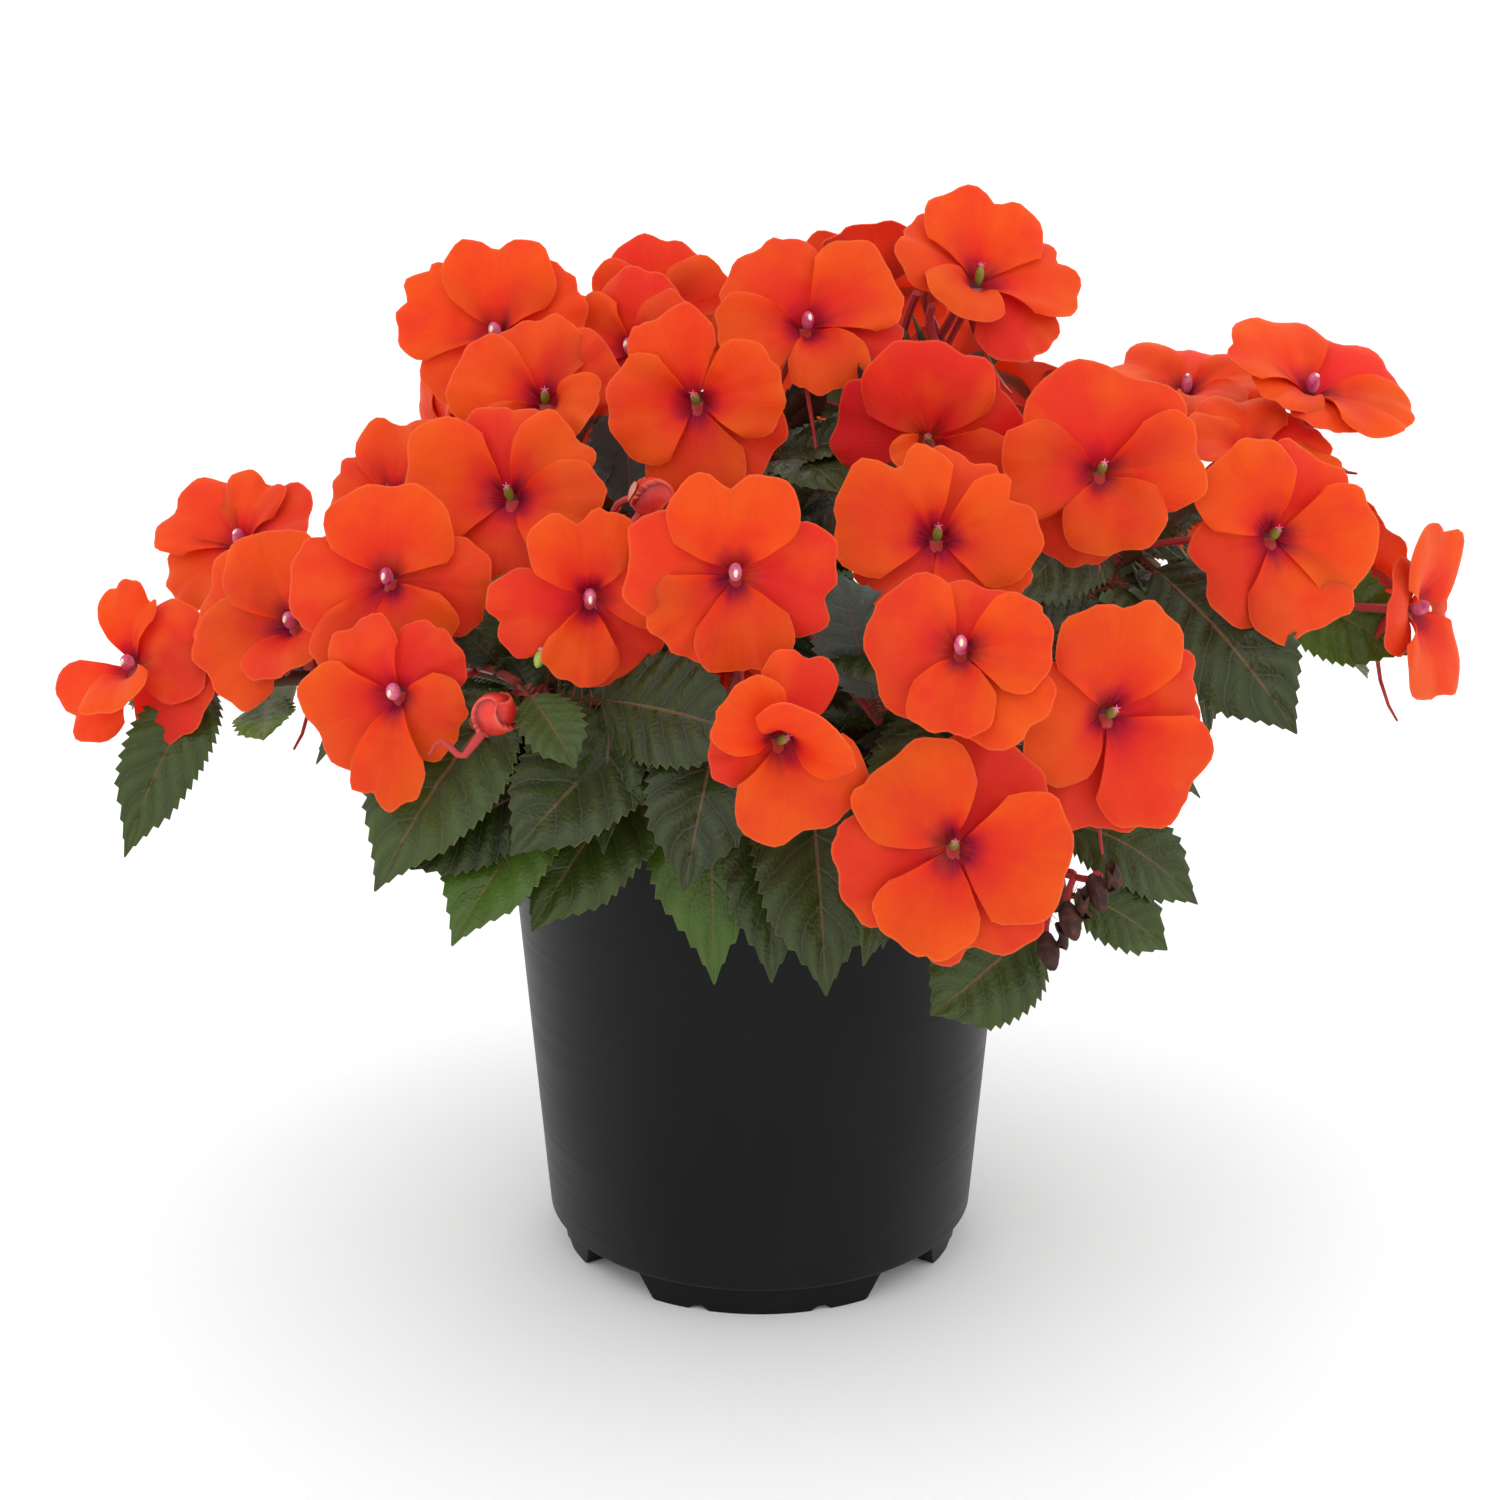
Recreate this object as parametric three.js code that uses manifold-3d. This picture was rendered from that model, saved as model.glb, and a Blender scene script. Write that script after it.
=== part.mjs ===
// A New Guinea impatiens in bloom, in its round plastic nursery pot. Millimetres, +Z up.
// The origin is on the ground, on the pot's axis. The viewer stands on the -Y side.
// Fourteen leafy shoots stand in the potting mix, and each carries its leaves, buds and flower stalks.
// Every open flower is a body of its own, seated on the end of its stalk.

import * as THREE from 'three';
import { mergeVertices } from 'three/addons/utils/BufferGeometryUtils.js';
import Module from 'manifold-3d';

const wasm = await Module();
wasm.setup();

// Driving dimensions of the pot
const POT_HEIGHT = 160;
const POT_SIDES = 32;
const RIM_RADIUS = 80.5;
const RIM_BAND = 12;
const RIDGE = 0.5;
const WALL_TOP_RADIUS = 77.5;
const WALL_FOOT_RADIUS = 67;
const WALL = 1.8;
const FLOOR_UNDERSIDE = 9.5;
const FLOOR = 2;
const FOOT_OUTER = 64;
const FOOT_INNER = 55;
const FOOT_BATTER = 1.5;
// The underside of a foot, as degrees from its middle and height over the ground
const FOOT_UNDERSIDE = [
  [-35, 9], [-31, 0], [-19, 0], [-17, 1.6], [-15, 0], [15, 0], [17, 1.6], [19, 0], [31, 0], [35, 9],
];
const DRAIN_RADIUS = 5;
const DRAIN_RING = 42;
const DRAIN_HOLES = 6;
// The pot's inside runs straight from its floor to just under the rim band
const INSIDE_FOOT = FLOOR_UNDERSIDE + FLOOR;
const INSIDE_TOP = POT_HEIGHT - RIM_BAND - 2;

// Potting mix
const MIX_TOP = 144;
const MIX_LUMPS = 2;
const MIX_RINGS = [28, 56];

// Clearances
const GAP = 0.35;
const CLEAR = 0.6;
const TRIFLE = 0.25;

// Shoots, leaves, stalks and flowers
const STEM_RADIUS = 4;
const STEM_TIP_RADIUS = 2.2;
const STEM_FOOT = 118;
const STEM_FREE = 152;
const STEM_SIDES = 5;
const STEM_STEPS = 4;
const BLADE = 0.8;
const BLADE_LENGTHS = 2.25;
const SHORTEST_STALK = 0.12;
const LEAF_STALK_HALF = 1.3;
const ROOT_INSET = 1.2;
const ROOT_ZONE = 14;
const TEETH = 3;
const NARROW_LEAF = 18;
const NARROW_TEETH = 2;
const TOOTH_LENGTH = 0.03;
const TOOTH_CUT = 0.87;
const LEAF_FOLD = 0.16;
const FACE_UP = 0.6;
const STALK_RADIUS = 1;
const STALK_STEPS = 3;
const PETALS = 5;
const PETAL = 0.8;
const THROAT = 5.5;
const COLUMN = 3;
const FUNNEL = [-5, -14];
const STALK_SEAT = 8.2;
const STALK_LIFT = 0.08;
const STALK_RISE = 0.3;
const BUD_LENGTH = 15;
const BUD_GIRTH = 12;
const POD_LENGTH = 11;
const POD_GIRTH = 6;
const POD_FACING = [0.2, -0.6, -0.75];

// Places along a stem, from 0 at the potting mix to 1 at its tip
const FIRST_STALK_AT = 0.97;
const STALK_SPACING = 0.05;
const BUD_AT = 0.9;
const POD_AT = 0.95;
// The one place on a blade's midrib, between its ends, that is a point of its mesh
const RIB_POINT = 0.45;

// Each shoot's foot is where it leaves the mix, and bend and tip shape its stem.
// A leaf is [place along the stem, tip of the leaf, arch of the midrib, width of the blade], and then
// the azimuth that its face turns to where that isn't straight out.
// A bloom is [middle, azimuth and elevation that it faces, distance across, cupping of its petals].
// Azimuth 0 faces the viewer and +90 faces +X.
const SHOOTS = [
  {
    name: 'shoot_left_low', foot: [-38, -6], bend: [-84, -14, 190], tip: [-148, -26, 184],
    leaves: [
      [0.97, [-176, -70, 147], 10, 28, 10], [0.96, [-134, -74, 180], 6, 15, 0],
      [0.97, [-194, 12, 166], 12, 28], [0.85, [-150, 36, 160], 14, 28], [0.75, [-110, -66, 166], 14, 22],
      [0.75, [-118, 22, 202], 12, 27], [0.9, [-172, 34, 196], 12, 24],
    ],
    blooms: [
      [[-178, -40, 192], -20, 20, 50, 3], [[-131, -52, 206], -35, 25, 56, 3],
      [[-155, -6, 226], -60, 50, 58, 4],
    ],
  },
  {
    name: 'shoot_left_front', foot: [-30, -24], bend: [-62, -46, 196], tip: [-86, -58, 196],
    leaves: [
      [0.98, [-98, -122, 153], 12, 30], [0.85, [-86, -106, 158], 14, 26], [0.9, [-48, -114, 182], 12, 22],
      [0.92, [-118, -84, 176], 10, 22],
    ],
    blooms: [
      [[-103, -34, 238], -25, 30, 52, 3], [[-98, -75, 224], -10, 12, 58, 2],
      [[-94, -95, 198], -15, 5, 50, 3],
    ],
    buds: [[[-67, -108, 196], -20, -10]],
  },
  {
    name: 'shoot_front_left', foot: [-14, -32], bend: [-32, -56, 200], tip: [-46, -66, 214],
    leaves: [
      [0.95, [-8, -120, 188], 12, 27], [0.8, [-60, -120, 164], 14, 31], [0.6, [-57, -108, 139], 26, 28],
      [0.5, [-79, -112, 136], 28, 28], [0.7, [-34, -112, 160], 16, 28], [0.97, [-68, -90, 222], 0, 12],
    ],
    blooms: [
      [[-67, -60, 243], -10, 20, 58, 3], [[-43, -100, 224], 5, 0, 54, 2],
    ],
    buds: [[[-28, -76, 246], 60, 5]],
  },
  {
    name: 'shoot_upper_left', foot: [-20, 2], bend: [-44, 0, 214], tip: [-60, 2, 244],
    leaves: [
      [0.9, [-38, -42, 262], -4, 20], [0.95, [-112, 28, 224], 10, 27], [0.8, [-84, 52, 220], 14, 27],
      [0.85, [-24, 42, 234], 10, 26], [0.65, [-104, -8, 212], 14, 27], [0.6, [-66, 48, 192], 16, 27],
    ],
    blooms: [
      [[-75, -10, 282], -15, 15, 55, 3], [[-59, -38, 266], 5, 20, 54, 2],
      [[-36, -16, 278], -30, 20, 48, 3], [[-95, 20, 248], -60, 10, 50, 3], [[-52, 40, 266], -160, 30, 56, 3],
    ],
  },
  {
    name: 'shoot_top', foot: [2, -8], bend: [-2, -10, 215], tip: [0, -12, 250],
    leaves: [
      [0.9, [28, -50, 246], 6, 24], [0.97, [36, -40, 264], 0, 20], [0.85, [-12, -60, 232], 6, 24],
      [0.9, [10, 46, 240], 12, 26], [0.7, [-2, 58, 216], 14, 28], [0.65, [42, -40, 220], 12, 26],
    ],
    blooms: [
      [[-17, -55, 268], -10, 5, 56, 3], [[13, -28, 286], 10, 25, 56, 3], [[-31, 12, 284], -5, 20, 50, 3],
    ],
  },
  {
    name: 'shoot_front', foot: [6, -36], bend: [14, -62, 196], tip: [18, -78, 200],
    leaves: [
      [0.9, [-19, -127, 155], 14, 29], [0.55, [-13, -104, 122], 30, 27], [0.6, [3, -108, 124], 28, 24],
      [0.75, [17, -119, 124], 24, 28], [0.97, [24, -84, 238], 0, 20], [0.95, [36, -112, 202], 8, 20],
    ],
    blooms: [
      [[-6, -114, 233], 0, 5, 57, 2], [[5, -131, 195], 22, 0, 44, 4], [[-8, -84, 206], 5, 0, 38, 3],
    ],
  },
  {
    name: 'shoot_upper_right', foot: [18, 10], bend: [38, 10, 225], tip: [52, 12, 262],
    leaves: [
      [0.95, [58, -22, 284], -2, 18], [0.85, [90, 38, 240], 12, 26], [0.9, [42, 66, 244], 12, 27],
      [0.8, [74, -28, 232], 12, 25], [0.65, [98, 4, 222], 14, 27], [0.7, [34, 62, 218], 14, 26],
    ],
    blooms: [
      [[63, 0, 296], 20, 45, 58, 3], [[36, 32, 292], 170, 40, 52, 3], [[46, -43, 256], -5, -5, 54, 3],
    ],
  },
  {
    name: 'shoot_front_right', foot: [28, -26], bend: [54, -56, 196], tip: [70, -80, 192],
    leaves: [
      [0.65, [32, -106, 132], 24, 24], [0.75, [24, -114, 128], 22, 24], [0.85, [118, -82, 166], 10, 24],
    ],
    blooms: [
      [[45, -93, 238], 0, 20, 56, 3], [[49, -122, 216], -5, 25, 54, 3],
      [[88, -110, 196], 15, 5, 62, 3], [[48, -128, 167], 0, 5, 61, 3],
    ],
  },
  {
    name: 'shoot_low_right', foot: [41, -25], bend: [74, -76, 194], tip: [80, -94, 138],
    leaves: [
      [0.97, [44, -117, 118], -2, 27, 10], [0.95, [108, -99, 129], 3, 18, 10],
      [0.75, [117, -91, 139], 6, 22, 20],
    ],
    blooms: [],
    pods: [[87, -110, 149], [80, -112, 142], [75, -110, 133]],
  },
  {
    name: 'shoot_right_front', foot: [38, -8], bend: [78, -20, 206], tip: [108, -30, 224],
    leaves: [
      [0.97, [147, -81, 189], 10, 30, -10], [0.92, [68, -72, 216], 10, 24], [0.85, [121, -76, 176], 12, 26],
      [0.85, [126, 18, 208], 14, 26],
    ],
    blooms: [
      [[91, -60, 250], 5, 10, 60, 3], [[140, -52, 231], 10, 10, 57, 3], [[88, 38, 254], 140, 50, 52, 3],
    ],
  },
  {
    name: 'shoot_right_low', foot: [38, 12], bend: [92, 8, 200], tip: [150, 4, 208],
    leaves: [
      [0.97, [190, -20, 192], 8, 28, 0], [0.9, [196, 44, 168], 8, 28], [0.85, [150, 60, 176], 14, 28],
      [0.75, [128, -40, 170], 16, 26], [0.65, [122, 50, 188], 14, 27],
    ],
    blooms: [
      [[162, 4, 265], 20, 70, 56, 4], [[130, 30, 262], 0, 85, 48, 4], [[142, -14, 248], 10, 70, 48, 3],
      [[190, -20, 204], 62, 5, 54, 3], [[180, 28, 210], 120, 20, 52, 3],
    ],
  },
  {
    name: 'shoot_back_left', foot: [-26, 28], bend: [-62, 60, 200], tip: [-98, 82, 204],
    leaves: [
      [0.97, [-152, 86, 166], 12, 29], [0.9, [-114, 130, 150], 14, 29], [0.75, [-66, 124, 156], 18, 28],
      [0.65, [-100, 42, 170], 14, 26], [0.85, [-142, 60, 190], 12, 26], [0.9, [-82, 120, 180], 10, 26],
    ],
    blooms: [
      [[-106, 66, 228], -130, 30, 54, 3], [[-70, 88, 250], -160, 35, 58, 3],
      [[-96, 118, 204], -165, 10, 58, 3],
    ],
  },
  {
    name: 'shoot_back', foot: [0, 36], bend: [0, 70, 204], tip: [2, 96, 218],
    leaves: [
      [0.97, [-22, 136, 172], 12, 28], [0.8, [26, 130, 148], 18, 29], [0.65, [-14, 122, 130], 26, 28],
      [0.9, [54, 112, 184], 10, 26], [0.8, [-46, 106, 188], 12, 27],
    ],
    blooms: [
      [[0, 72, 272], 180, 45, 58, 3], [[-38, 116, 228], -170, 15, 56, 3], [[36, 120, 234], 170, 15, 58, 3],
      [[2, 138, 186], 180, 5, 56, 3],
    ],
  },
  {
    name: 'shoot_back_right', foot: [28, 28], bend: [64, 58, 202], tip: [94, 80, 206],
    leaves: [
      [0.97, [144, 98, 166], 12, 29], [0.9, [108, 128, 148], 14, 29], [0.75, [66, 126, 152], 18, 28],
      [0.7, [130, 40, 168], 14, 26], [0.85, [138, 66, 186], 12, 26], [0.9, [86, 120, 180], 10, 26],
    ],
    blooms: [
      [[64, 82, 262], 160, 35, 56, 3], [[126, 66, 226], 125, 30, 56, 3], [[92, 118, 208], 165, 10, 58, 3],
    ],
  },
];

const UP = new THREE.Vector3(0, 0, 1);
const vec = (x, y, z) => new THREE.Vector3(x, y, z);
const radians = THREE.MathUtils.degToRad;
const levelWay = (azimuth) => vec(Math.sin(radians(azimuth)), -Math.cos(radians(azimuth)), 0);

// A steady small variation between -1 and 1, so that no two leaves or flowers are alike
const vary = (number, turn) => Math.sin(number * 2.399 + turn * 1.7);

function solidOf(points, triangles) {
  const vertProperties = new Float32Array(points.flatMap((point) => [point.x, point.y, point.z]));
  const triVerts = new Uint32Array(triangles.flat());
  return new wasm.Manifold(new wasm.Mesh({ numProp: 3, vertProperties, triVerts }));
}

function solidOfGeometry(geometry) {
  const bare = geometry.clone();
  bare.deleteAttribute('normal');
  bare.deleteAttribute('uv');
  const merged = mergeVertices(bare, 1e-4);
  const triVerts = new Uint32Array(merged.index.array);
  const vertProperties = new Float32Array(merged.attributes.position.array);
  return new wasm.Manifold(new wasm.Mesh({ numProp: 3, vertProperties, triVerts }));
}

function geometryOf(solid) {
  const mesh = solid.getMesh();
  const geometry = new THREE.BufferGeometry();
  geometry.setAttribute('position', new THREE.BufferAttribute(new Float32Array(mesh.vertProperties), 3));
  geometry.setIndex(new THREE.BufferAttribute(new Uint32Array(mesh.triVerts), 1));
  geometry.computeVertexNormals();
  return geometry;
}

function joined(solids) {
  return solids.reduce((whole, solid) => whole.add(solid));
}

// The largest body of a solid, without the scraps that a cut can leave
function largestBody(solid) {
  const bodies = solid.decompose();
  return bodies.reduce((best, body) => (body.volume() > best.volume() ? body : best));
}

// Triangles between two chains of points that run the same way, each with its own measure along the way
function stripBetween(inner, outer) {
  const triangles = [];
  let i = 0;
  let o = 0;
  while (i < inner.length - 1 || o < outer.length - 1) {
    const innerNext = i < inner.length - 1 ? inner[i + 1].at : Infinity;
    const outerNext = o < outer.length - 1 ? outer[o + 1].at : Infinity;
    if (outerNext <= innerNext) {
      triangles.push([inner[i].index, outer[o].index, outer[o + 1].index]);
      o += 1;
    } else {
      triangles.push([inner[i].index, outer[o].index, inner[i + 1].index]);
      i += 1;
    }
  }
  return triangles.filter(([a, b, c]) => a !== b && b !== c && a !== c);
}

// A thin sheet from its upper points, the matching points under them, and its outline seen from above
function sheet(upper, under, faces, outline) {
  const count = upper.length;
  const triangles = [];
  for (const [a, b, c] of faces) {
    triangles.push([a, b, c], [count + a, count + c, count + b]);
  }
  outline.forEach((a, place) => {
    const b = outline[(place + 1) % outline.length];
    triangles.push([count + a, count + b, b], [count + a, b, a]);
  });
  return solidOf([...upper, ...under], triangles);
}

// A round limb with flat ends along a row of points, with a radius for each point
function limb(points, radii, sides) {
  const rings = [];
  let ahead = points[1].clone().sub(points[0]).normalize();
  const side = Math.abs(ahead.z) > 0.9 ? vec(1, 0, 0) : vec(0, 0, 1);
  side.sub(ahead.clone().multiplyScalar(side.dot(ahead))).normalize();
  points.forEach((point, step) => {
    const last = points[Math.max(step - 1, 0)];
    const next = points[Math.min(step + 1, points.length - 1)];
    const along = next.clone().sub(last).normalize();
    side.applyQuaternion(new THREE.Quaternion().setFromUnitVectors(ahead, along));
    ahead = along;
    const across = ahead.clone().cross(side);
    for (let turn = 0; turn < sides; turn += 1) {
      const angle = (2 * Math.PI * turn) / sides;
      const reach = side.clone().multiplyScalar(Math.cos(angle)).addScaledVector(across, Math.sin(angle));
      rings.push(point.clone().addScaledVector(reach, radii[step]));
    }
  });
  const triangles = [];
  for (let step = 0; step < points.length - 1; step += 1) {
    for (let turn = 0; turn < sides; turn += 1) {
      const a = step * sides + turn;
      const b = step * sides + ((turn + 1) % sides);
      triangles.push([a, b, b + sides], [a, b + sides, a + sides]);
    }
  }
  const lastRing = (points.length - 1) * sides;
  for (let turn = 1; turn < sides - 1; turn += 1) {
    triangles.push([0, turn + 1, turn], [lastRing, lastRing + turn, lastRing + turn + 1]);
  }
  return solidOf(rings, triangles);
}

function potWallProfile() {
  const bandFoot = POT_HEIGHT - RIM_BAND;
  const ridge = POT_HEIGHT - RIM_BAND / 2;
  return [
    [0, FLOOR_UNDERSIDE], [WALL_FOOT_RADIUS - 1.5, FLOOR_UNDERSIDE],
    [WALL_FOOT_RADIUS, FLOOR_UNDERSIDE + 1.5],
    [WALL_TOP_RADIUS, bandFoot], [RIM_RADIUS - 0.4, bandFoot], [RIM_RADIUS, ridge - 0.8],
    [RIM_RADIUS + RIDGE, ridge], [RIM_RADIUS, ridge + 0.8], [RIM_RADIUS, POT_HEIGHT - 0.8],
    [RIM_RADIUS - 0.8, POT_HEIGHT], [RIM_RADIUS - WALL - 0.6, POT_HEIGHT],
    [WALL_TOP_RADIUS - WALL, INSIDE_TOP], [WALL_FOOT_RADIUS - WALL, INSIDE_FOOT], [0, INSIDE_FOOT],
  ].map(([radius, height]) => new THREE.Vector2(radius, height));
}

// A lathe turns about +Y, so its result is stood up on +Z
function turned(profile, sides) {
  return new THREE.LatheGeometry(profile, sides).rotateX(Math.PI / 2);
}

// One of the four feet: a curved block with splayed ends and a notched underside
function potFoot(direction) {
  const top = FLOOR_UNDERSIDE + 1;
  const points = [];
  for (const [degrees, height] of FOOT_UNDERSIDE) {
    const angle = radians(direction + degrees);
    const ring = (radius, z) => vec(radius * Math.cos(angle), radius * Math.sin(angle), z);
    const batter = FOOT_BATTER * (1 - height / FLOOR_UNDERSIDE);
    points.push(ring(FOOT_INNER, top), ring(FOOT_OUTER, top));
    points.push(ring(FOOT_OUTER - batter, height), ring(FOOT_INNER + batter, height));
  }
  const triangles = [[0, 2, 1], [0, 3, 2]];
  for (let step = 0; step < FOOT_UNDERSIDE.length - 1; step += 1) {
    for (let corner = 0; corner < 4; corner += 1) {
      const a = step * 4 + corner;
      const b = step * 4 + ((corner + 1) % 4);
      triangles.push([a, b + 4, a + 4], [a, b, b + 4]);
    }
  }
  const last = points.length - 4;
  triangles.push([last, last + 1, last + 2], [last, last + 2, last + 3]);
  return solidOf(points, triangles);
}

function potSolid() {
  let pot = solidOfGeometry(turned(potWallProfile(), POT_SIDES));
  for (const direction of [0, 90, 180, 270]) {
    pot = pot.add(potFoot(direction));
  }
  for (let hole = 0; hole < DRAIN_HOLES; hole += 1) {
    const angle = (2 * Math.PI * (hole + 0.5)) / DRAIN_HOLES;
    const drill = new THREE.CylinderGeometry(DRAIN_RADIUS, DRAIN_RADIUS, 4 * FLOOR, 6);
    drill.rotateX(Math.PI / 2);
    drill.translate(DRAIN_RING * Math.cos(angle), DRAIN_RING * Math.sin(angle), FLOOR_UNDERSIDE + FLOOR / 2);
    pot = pot.subtract(solidOfGeometry(drill));
  }
  return pot;
}

// The plug of potting mix fills the pot from its floor, with a lumpy top
function mixSolid() {
  const sides = POT_SIDES / 2;
  const bottom = INSIDE_FOOT + GAP;
  const slope = (WALL_TOP_RADIUS - WALL_FOOT_RADIUS) / (INSIDE_TOP - INSIDE_FOOT);
  const edge = (height) => WALL_FOOT_RADIUS - WALL - GAP + slope * (height - INSIDE_FOOT);
  const points = [vec(0, 0, bottom), vec(0, 0, MIX_TOP + MIX_LUMPS)];
  const rings = [[edge(bottom), bottom, 0], [edge(MIX_TOP) - 0.3, MIX_TOP - 1, 0]];
  for (const radius of [...MIX_RINGS].reverse()) {
    rings.push([radius, MIX_TOP, MIX_LUMPS]);
  }
  rings.forEach(([radius, height, lumps], ring) => {
    for (let turn = 0; turn < sides; turn += 1) {
      const angle = (2 * Math.PI * turn) / sides;
      const lump = lumps * vary(turn * 3 + ring, ring);
      points.push(vec(radius * Math.cos(angle), radius * Math.sin(angle), height + lump));
    }
  });
  const triangles = [];
  for (let turn = 0; turn < sides; turn += 1) {
    const next = (turn + 1) % sides;
    triangles.push([0, 2 + next, 2 + turn]);
    for (let ring = 0; ring < rings.length - 1; ring += 1) {
      const a = 2 + ring * sides;
      const b = a + sides;
      triangles.push([a + turn, a + next, b + next], [a + turn, b + next, b + turn]);
    }
    const inner = 2 + (rings.length - 1) * sides;
    triangles.push([inner + turn, inner + next, 1]);
  }
  return solidOf(points, triangles);
}

// A shoot's stem: upright out of the mix, then bending out to its tip
function stemPoint(shoot, share) {
  const start = vec(shoot.foot[0], shoot.foot[1], STEM_FREE);
  return new THREE.QuadraticBezierCurve3(start, vec(...shoot.bend), vec(...shoot.tip)).getPoint(share);
}

function stemLimb(shoot, grow) {
  const points = [vec(shoot.foot[0], shoot.foot[1], STEM_FOOT - grow)];
  const radii = [STEM_RADIUS + grow];
  for (let step = 0; step <= STEM_STEPS; step += 1) {
    const share = step / STEM_STEPS;
    points.push(stemPoint(shoot, share));
    radii.push(STEM_RADIUS + (STEM_TIP_RADIUS - STEM_RADIUS) * share + grow);
  }
  return limb(points, radii, STEM_SIDES);
}

// The plain hole that a stem's foot stands in
function stemHole(shoot) {
  const foot = vec(shoot.foot[0], shoot.foot[1], STEM_FOOT - GAP);
  return limb([foot, stemPoint(shoot, 0)], [STEM_RADIUS + GAP + 0.1, STEM_RADIUS + GAP + 0.1], STEM_SIDES);
}

// Half width of a blade, as a share of its greatest half width: an ellipse drawn out to a fine tip
function bladeShape(along) {
  return Math.sin(Math.PI * along ** 0.8) ** 0.62;
}

// The sawtooth edge of a leaf: each tooth runs out gently and is cut back sharply
function bladeEdge(teeth) {
  const edge = [{ at: 0.05, width: bladeShape(0.05) }];
  for (let tooth = 1; tooth <= teeth; tooth += 1) {
    const at = tooth / (teeth + 1) + 0.04;
    edge.push({ at, width: bladeShape(at) });
    edge.push({ at: at + TOOTH_LENGTH, width: bladeShape(at + TOOTH_LENGTH) * TOOTH_CUT });
  }
  return edge;
}

// A leaf: a narrow stalk that opens into a toothed blade, folded along an arched midrib
function leafBlade(base, ownTip, arch, width, azimuth, move, grow) {
  const facing = leafFacing(ownTip, azimuth);
  const side = facing.clone().cross(ownTip.clone().sub(base)).normalize();
  const tip = ownTip.clone().addScaledVector(facing, move.out).addScaledVector(side, move.swing);
  const middle = base.clone().add(tip).multiplyScalar(0.5).addScaledVector(UP, (arch + move.lift) * 2);
  const rib = new THREE.QuadraticBezierCurve3(base, middle, tip);
  const half = width / 2;
  const edge = bladeEdge(width < NARROW_LEAF ? NARROW_TEETH : TEETH);
  const stalk = Math.max(SHORTEST_STALK, 1 - (BLADE_LENGTHS * width) / rib.getLength());
  const upper = [];
  const under = [];
  const addPoint = (along, reach, lift) => {
    const tangent = rib.getTangent(along);
    const normal = tangent.clone().cross(side).normalize();
    const point = rib.getPoint(along).addScaledVector(side, reach).addScaledVector(normal, lift);
    upper.push(point.clone().addScaledVector(normal, grow));
    under.push(point.clone().addScaledVector(normal, -BLADE - grow));
    return upper.length - 1;
  };
  const place = (along) => stalk + (1 - stalk) * along;
  const end = addPoint(1, 0, 0);
  const ribChain = [{ at: RIB_POINT, index: addPoint(place(RIB_POINT), 0, 0) }, { at: 1, index: end }];
  const chainOf = (sign) => {
    const chain = [{ at: 0, index: addPoint(place(0), sign * (LEAF_STALK_HALF + grow), 0) }];
    for (const { at, width: share } of edge) {
      const reach = share * half + grow;
      chain.push({ at, index: addPoint(place(at), sign * reach, reach * LEAF_FOLD) });
    }
    chain.push({ at: 1.01, index: end });
    return chain;
  };
  const left = chainOf(1);
  const right = chainOf(-1);
  const faces = stripBetween(ribChain, left).map(([a, b, c]) => [a, c, b]);
  faces.push(...stripBetween(ribChain, right));
  const leftRoot = addPoint(0, LEAF_STALK_HALF + grow, 0);
  const rightRoot = addPoint(0, -LEAF_STALK_HALF - grow, 0);
  const [leftNeck, rightNeck] = [left[0].index, right[0].index];
  faces.push([leftRoot, rightRoot, rightNeck], [leftRoot, rightNeck, leftNeck]);
  faces.push([leftNeck, rightNeck, ribChain[0].index]);
  const round = [...right, ...left.slice(0, -1).reverse()];
  return sheet(upper, under, faces, [rightRoot, ...round.map((entry) => entry.index), leftRoot]);
}

// A leaf turns its face up and away from the middle of the plant, or to the azimuth that its row gives
function leafFacing(tip, azimuth) {
  const level = azimuth === undefined ? vec(tip.x, tip.y, 0).normalize() : levelWay(azimuth);
  return level.addScaledVector(UP, FACE_UP).normalize();
}

// How a leaf may move to clear its neighbours: out or in, arched more or less, or swung sideways.
// The least move comes first.
function leafMoves() {
  const moves = [];
  for (const out of [0, 4, -4, 8, -8, 12]) {
    for (const lift of [0, 3, -3, 6, -6, 9]) {
      for (const swing of [0, 5, -5, 10, -10]) {
        moves.push({ out, lift, swing });
      }
    }
  }
  const effort = ({ out, lift, swing }) => Math.abs(out) + Math.abs(lift) + 1.5 * Math.abs(swing);
  return moves.sort((a, b) => effort(a) - effort(b));
}

// The frame of a flower: its middle, and the way it faces
function bloomPlace(bloom) {
  const [middle, azimuth, elevation] = bloom;
  const facing = levelWay(azimuth).multiplyScalar(Math.cos(radians(elevation)));
  facing.addScaledVector(UP, Math.sin(radians(elevation)));
  const right = facing.clone().cross(UP).normalize().negate();
  const upward = facing.clone().cross(right);
  const basis = new THREE.Matrix4().makeBasis(right, upward, facing);
  const turn = new THREE.Quaternion().setFromRotationMatrix(basis);
  return { middle: vec(...middle), facing, turn };
}

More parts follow.
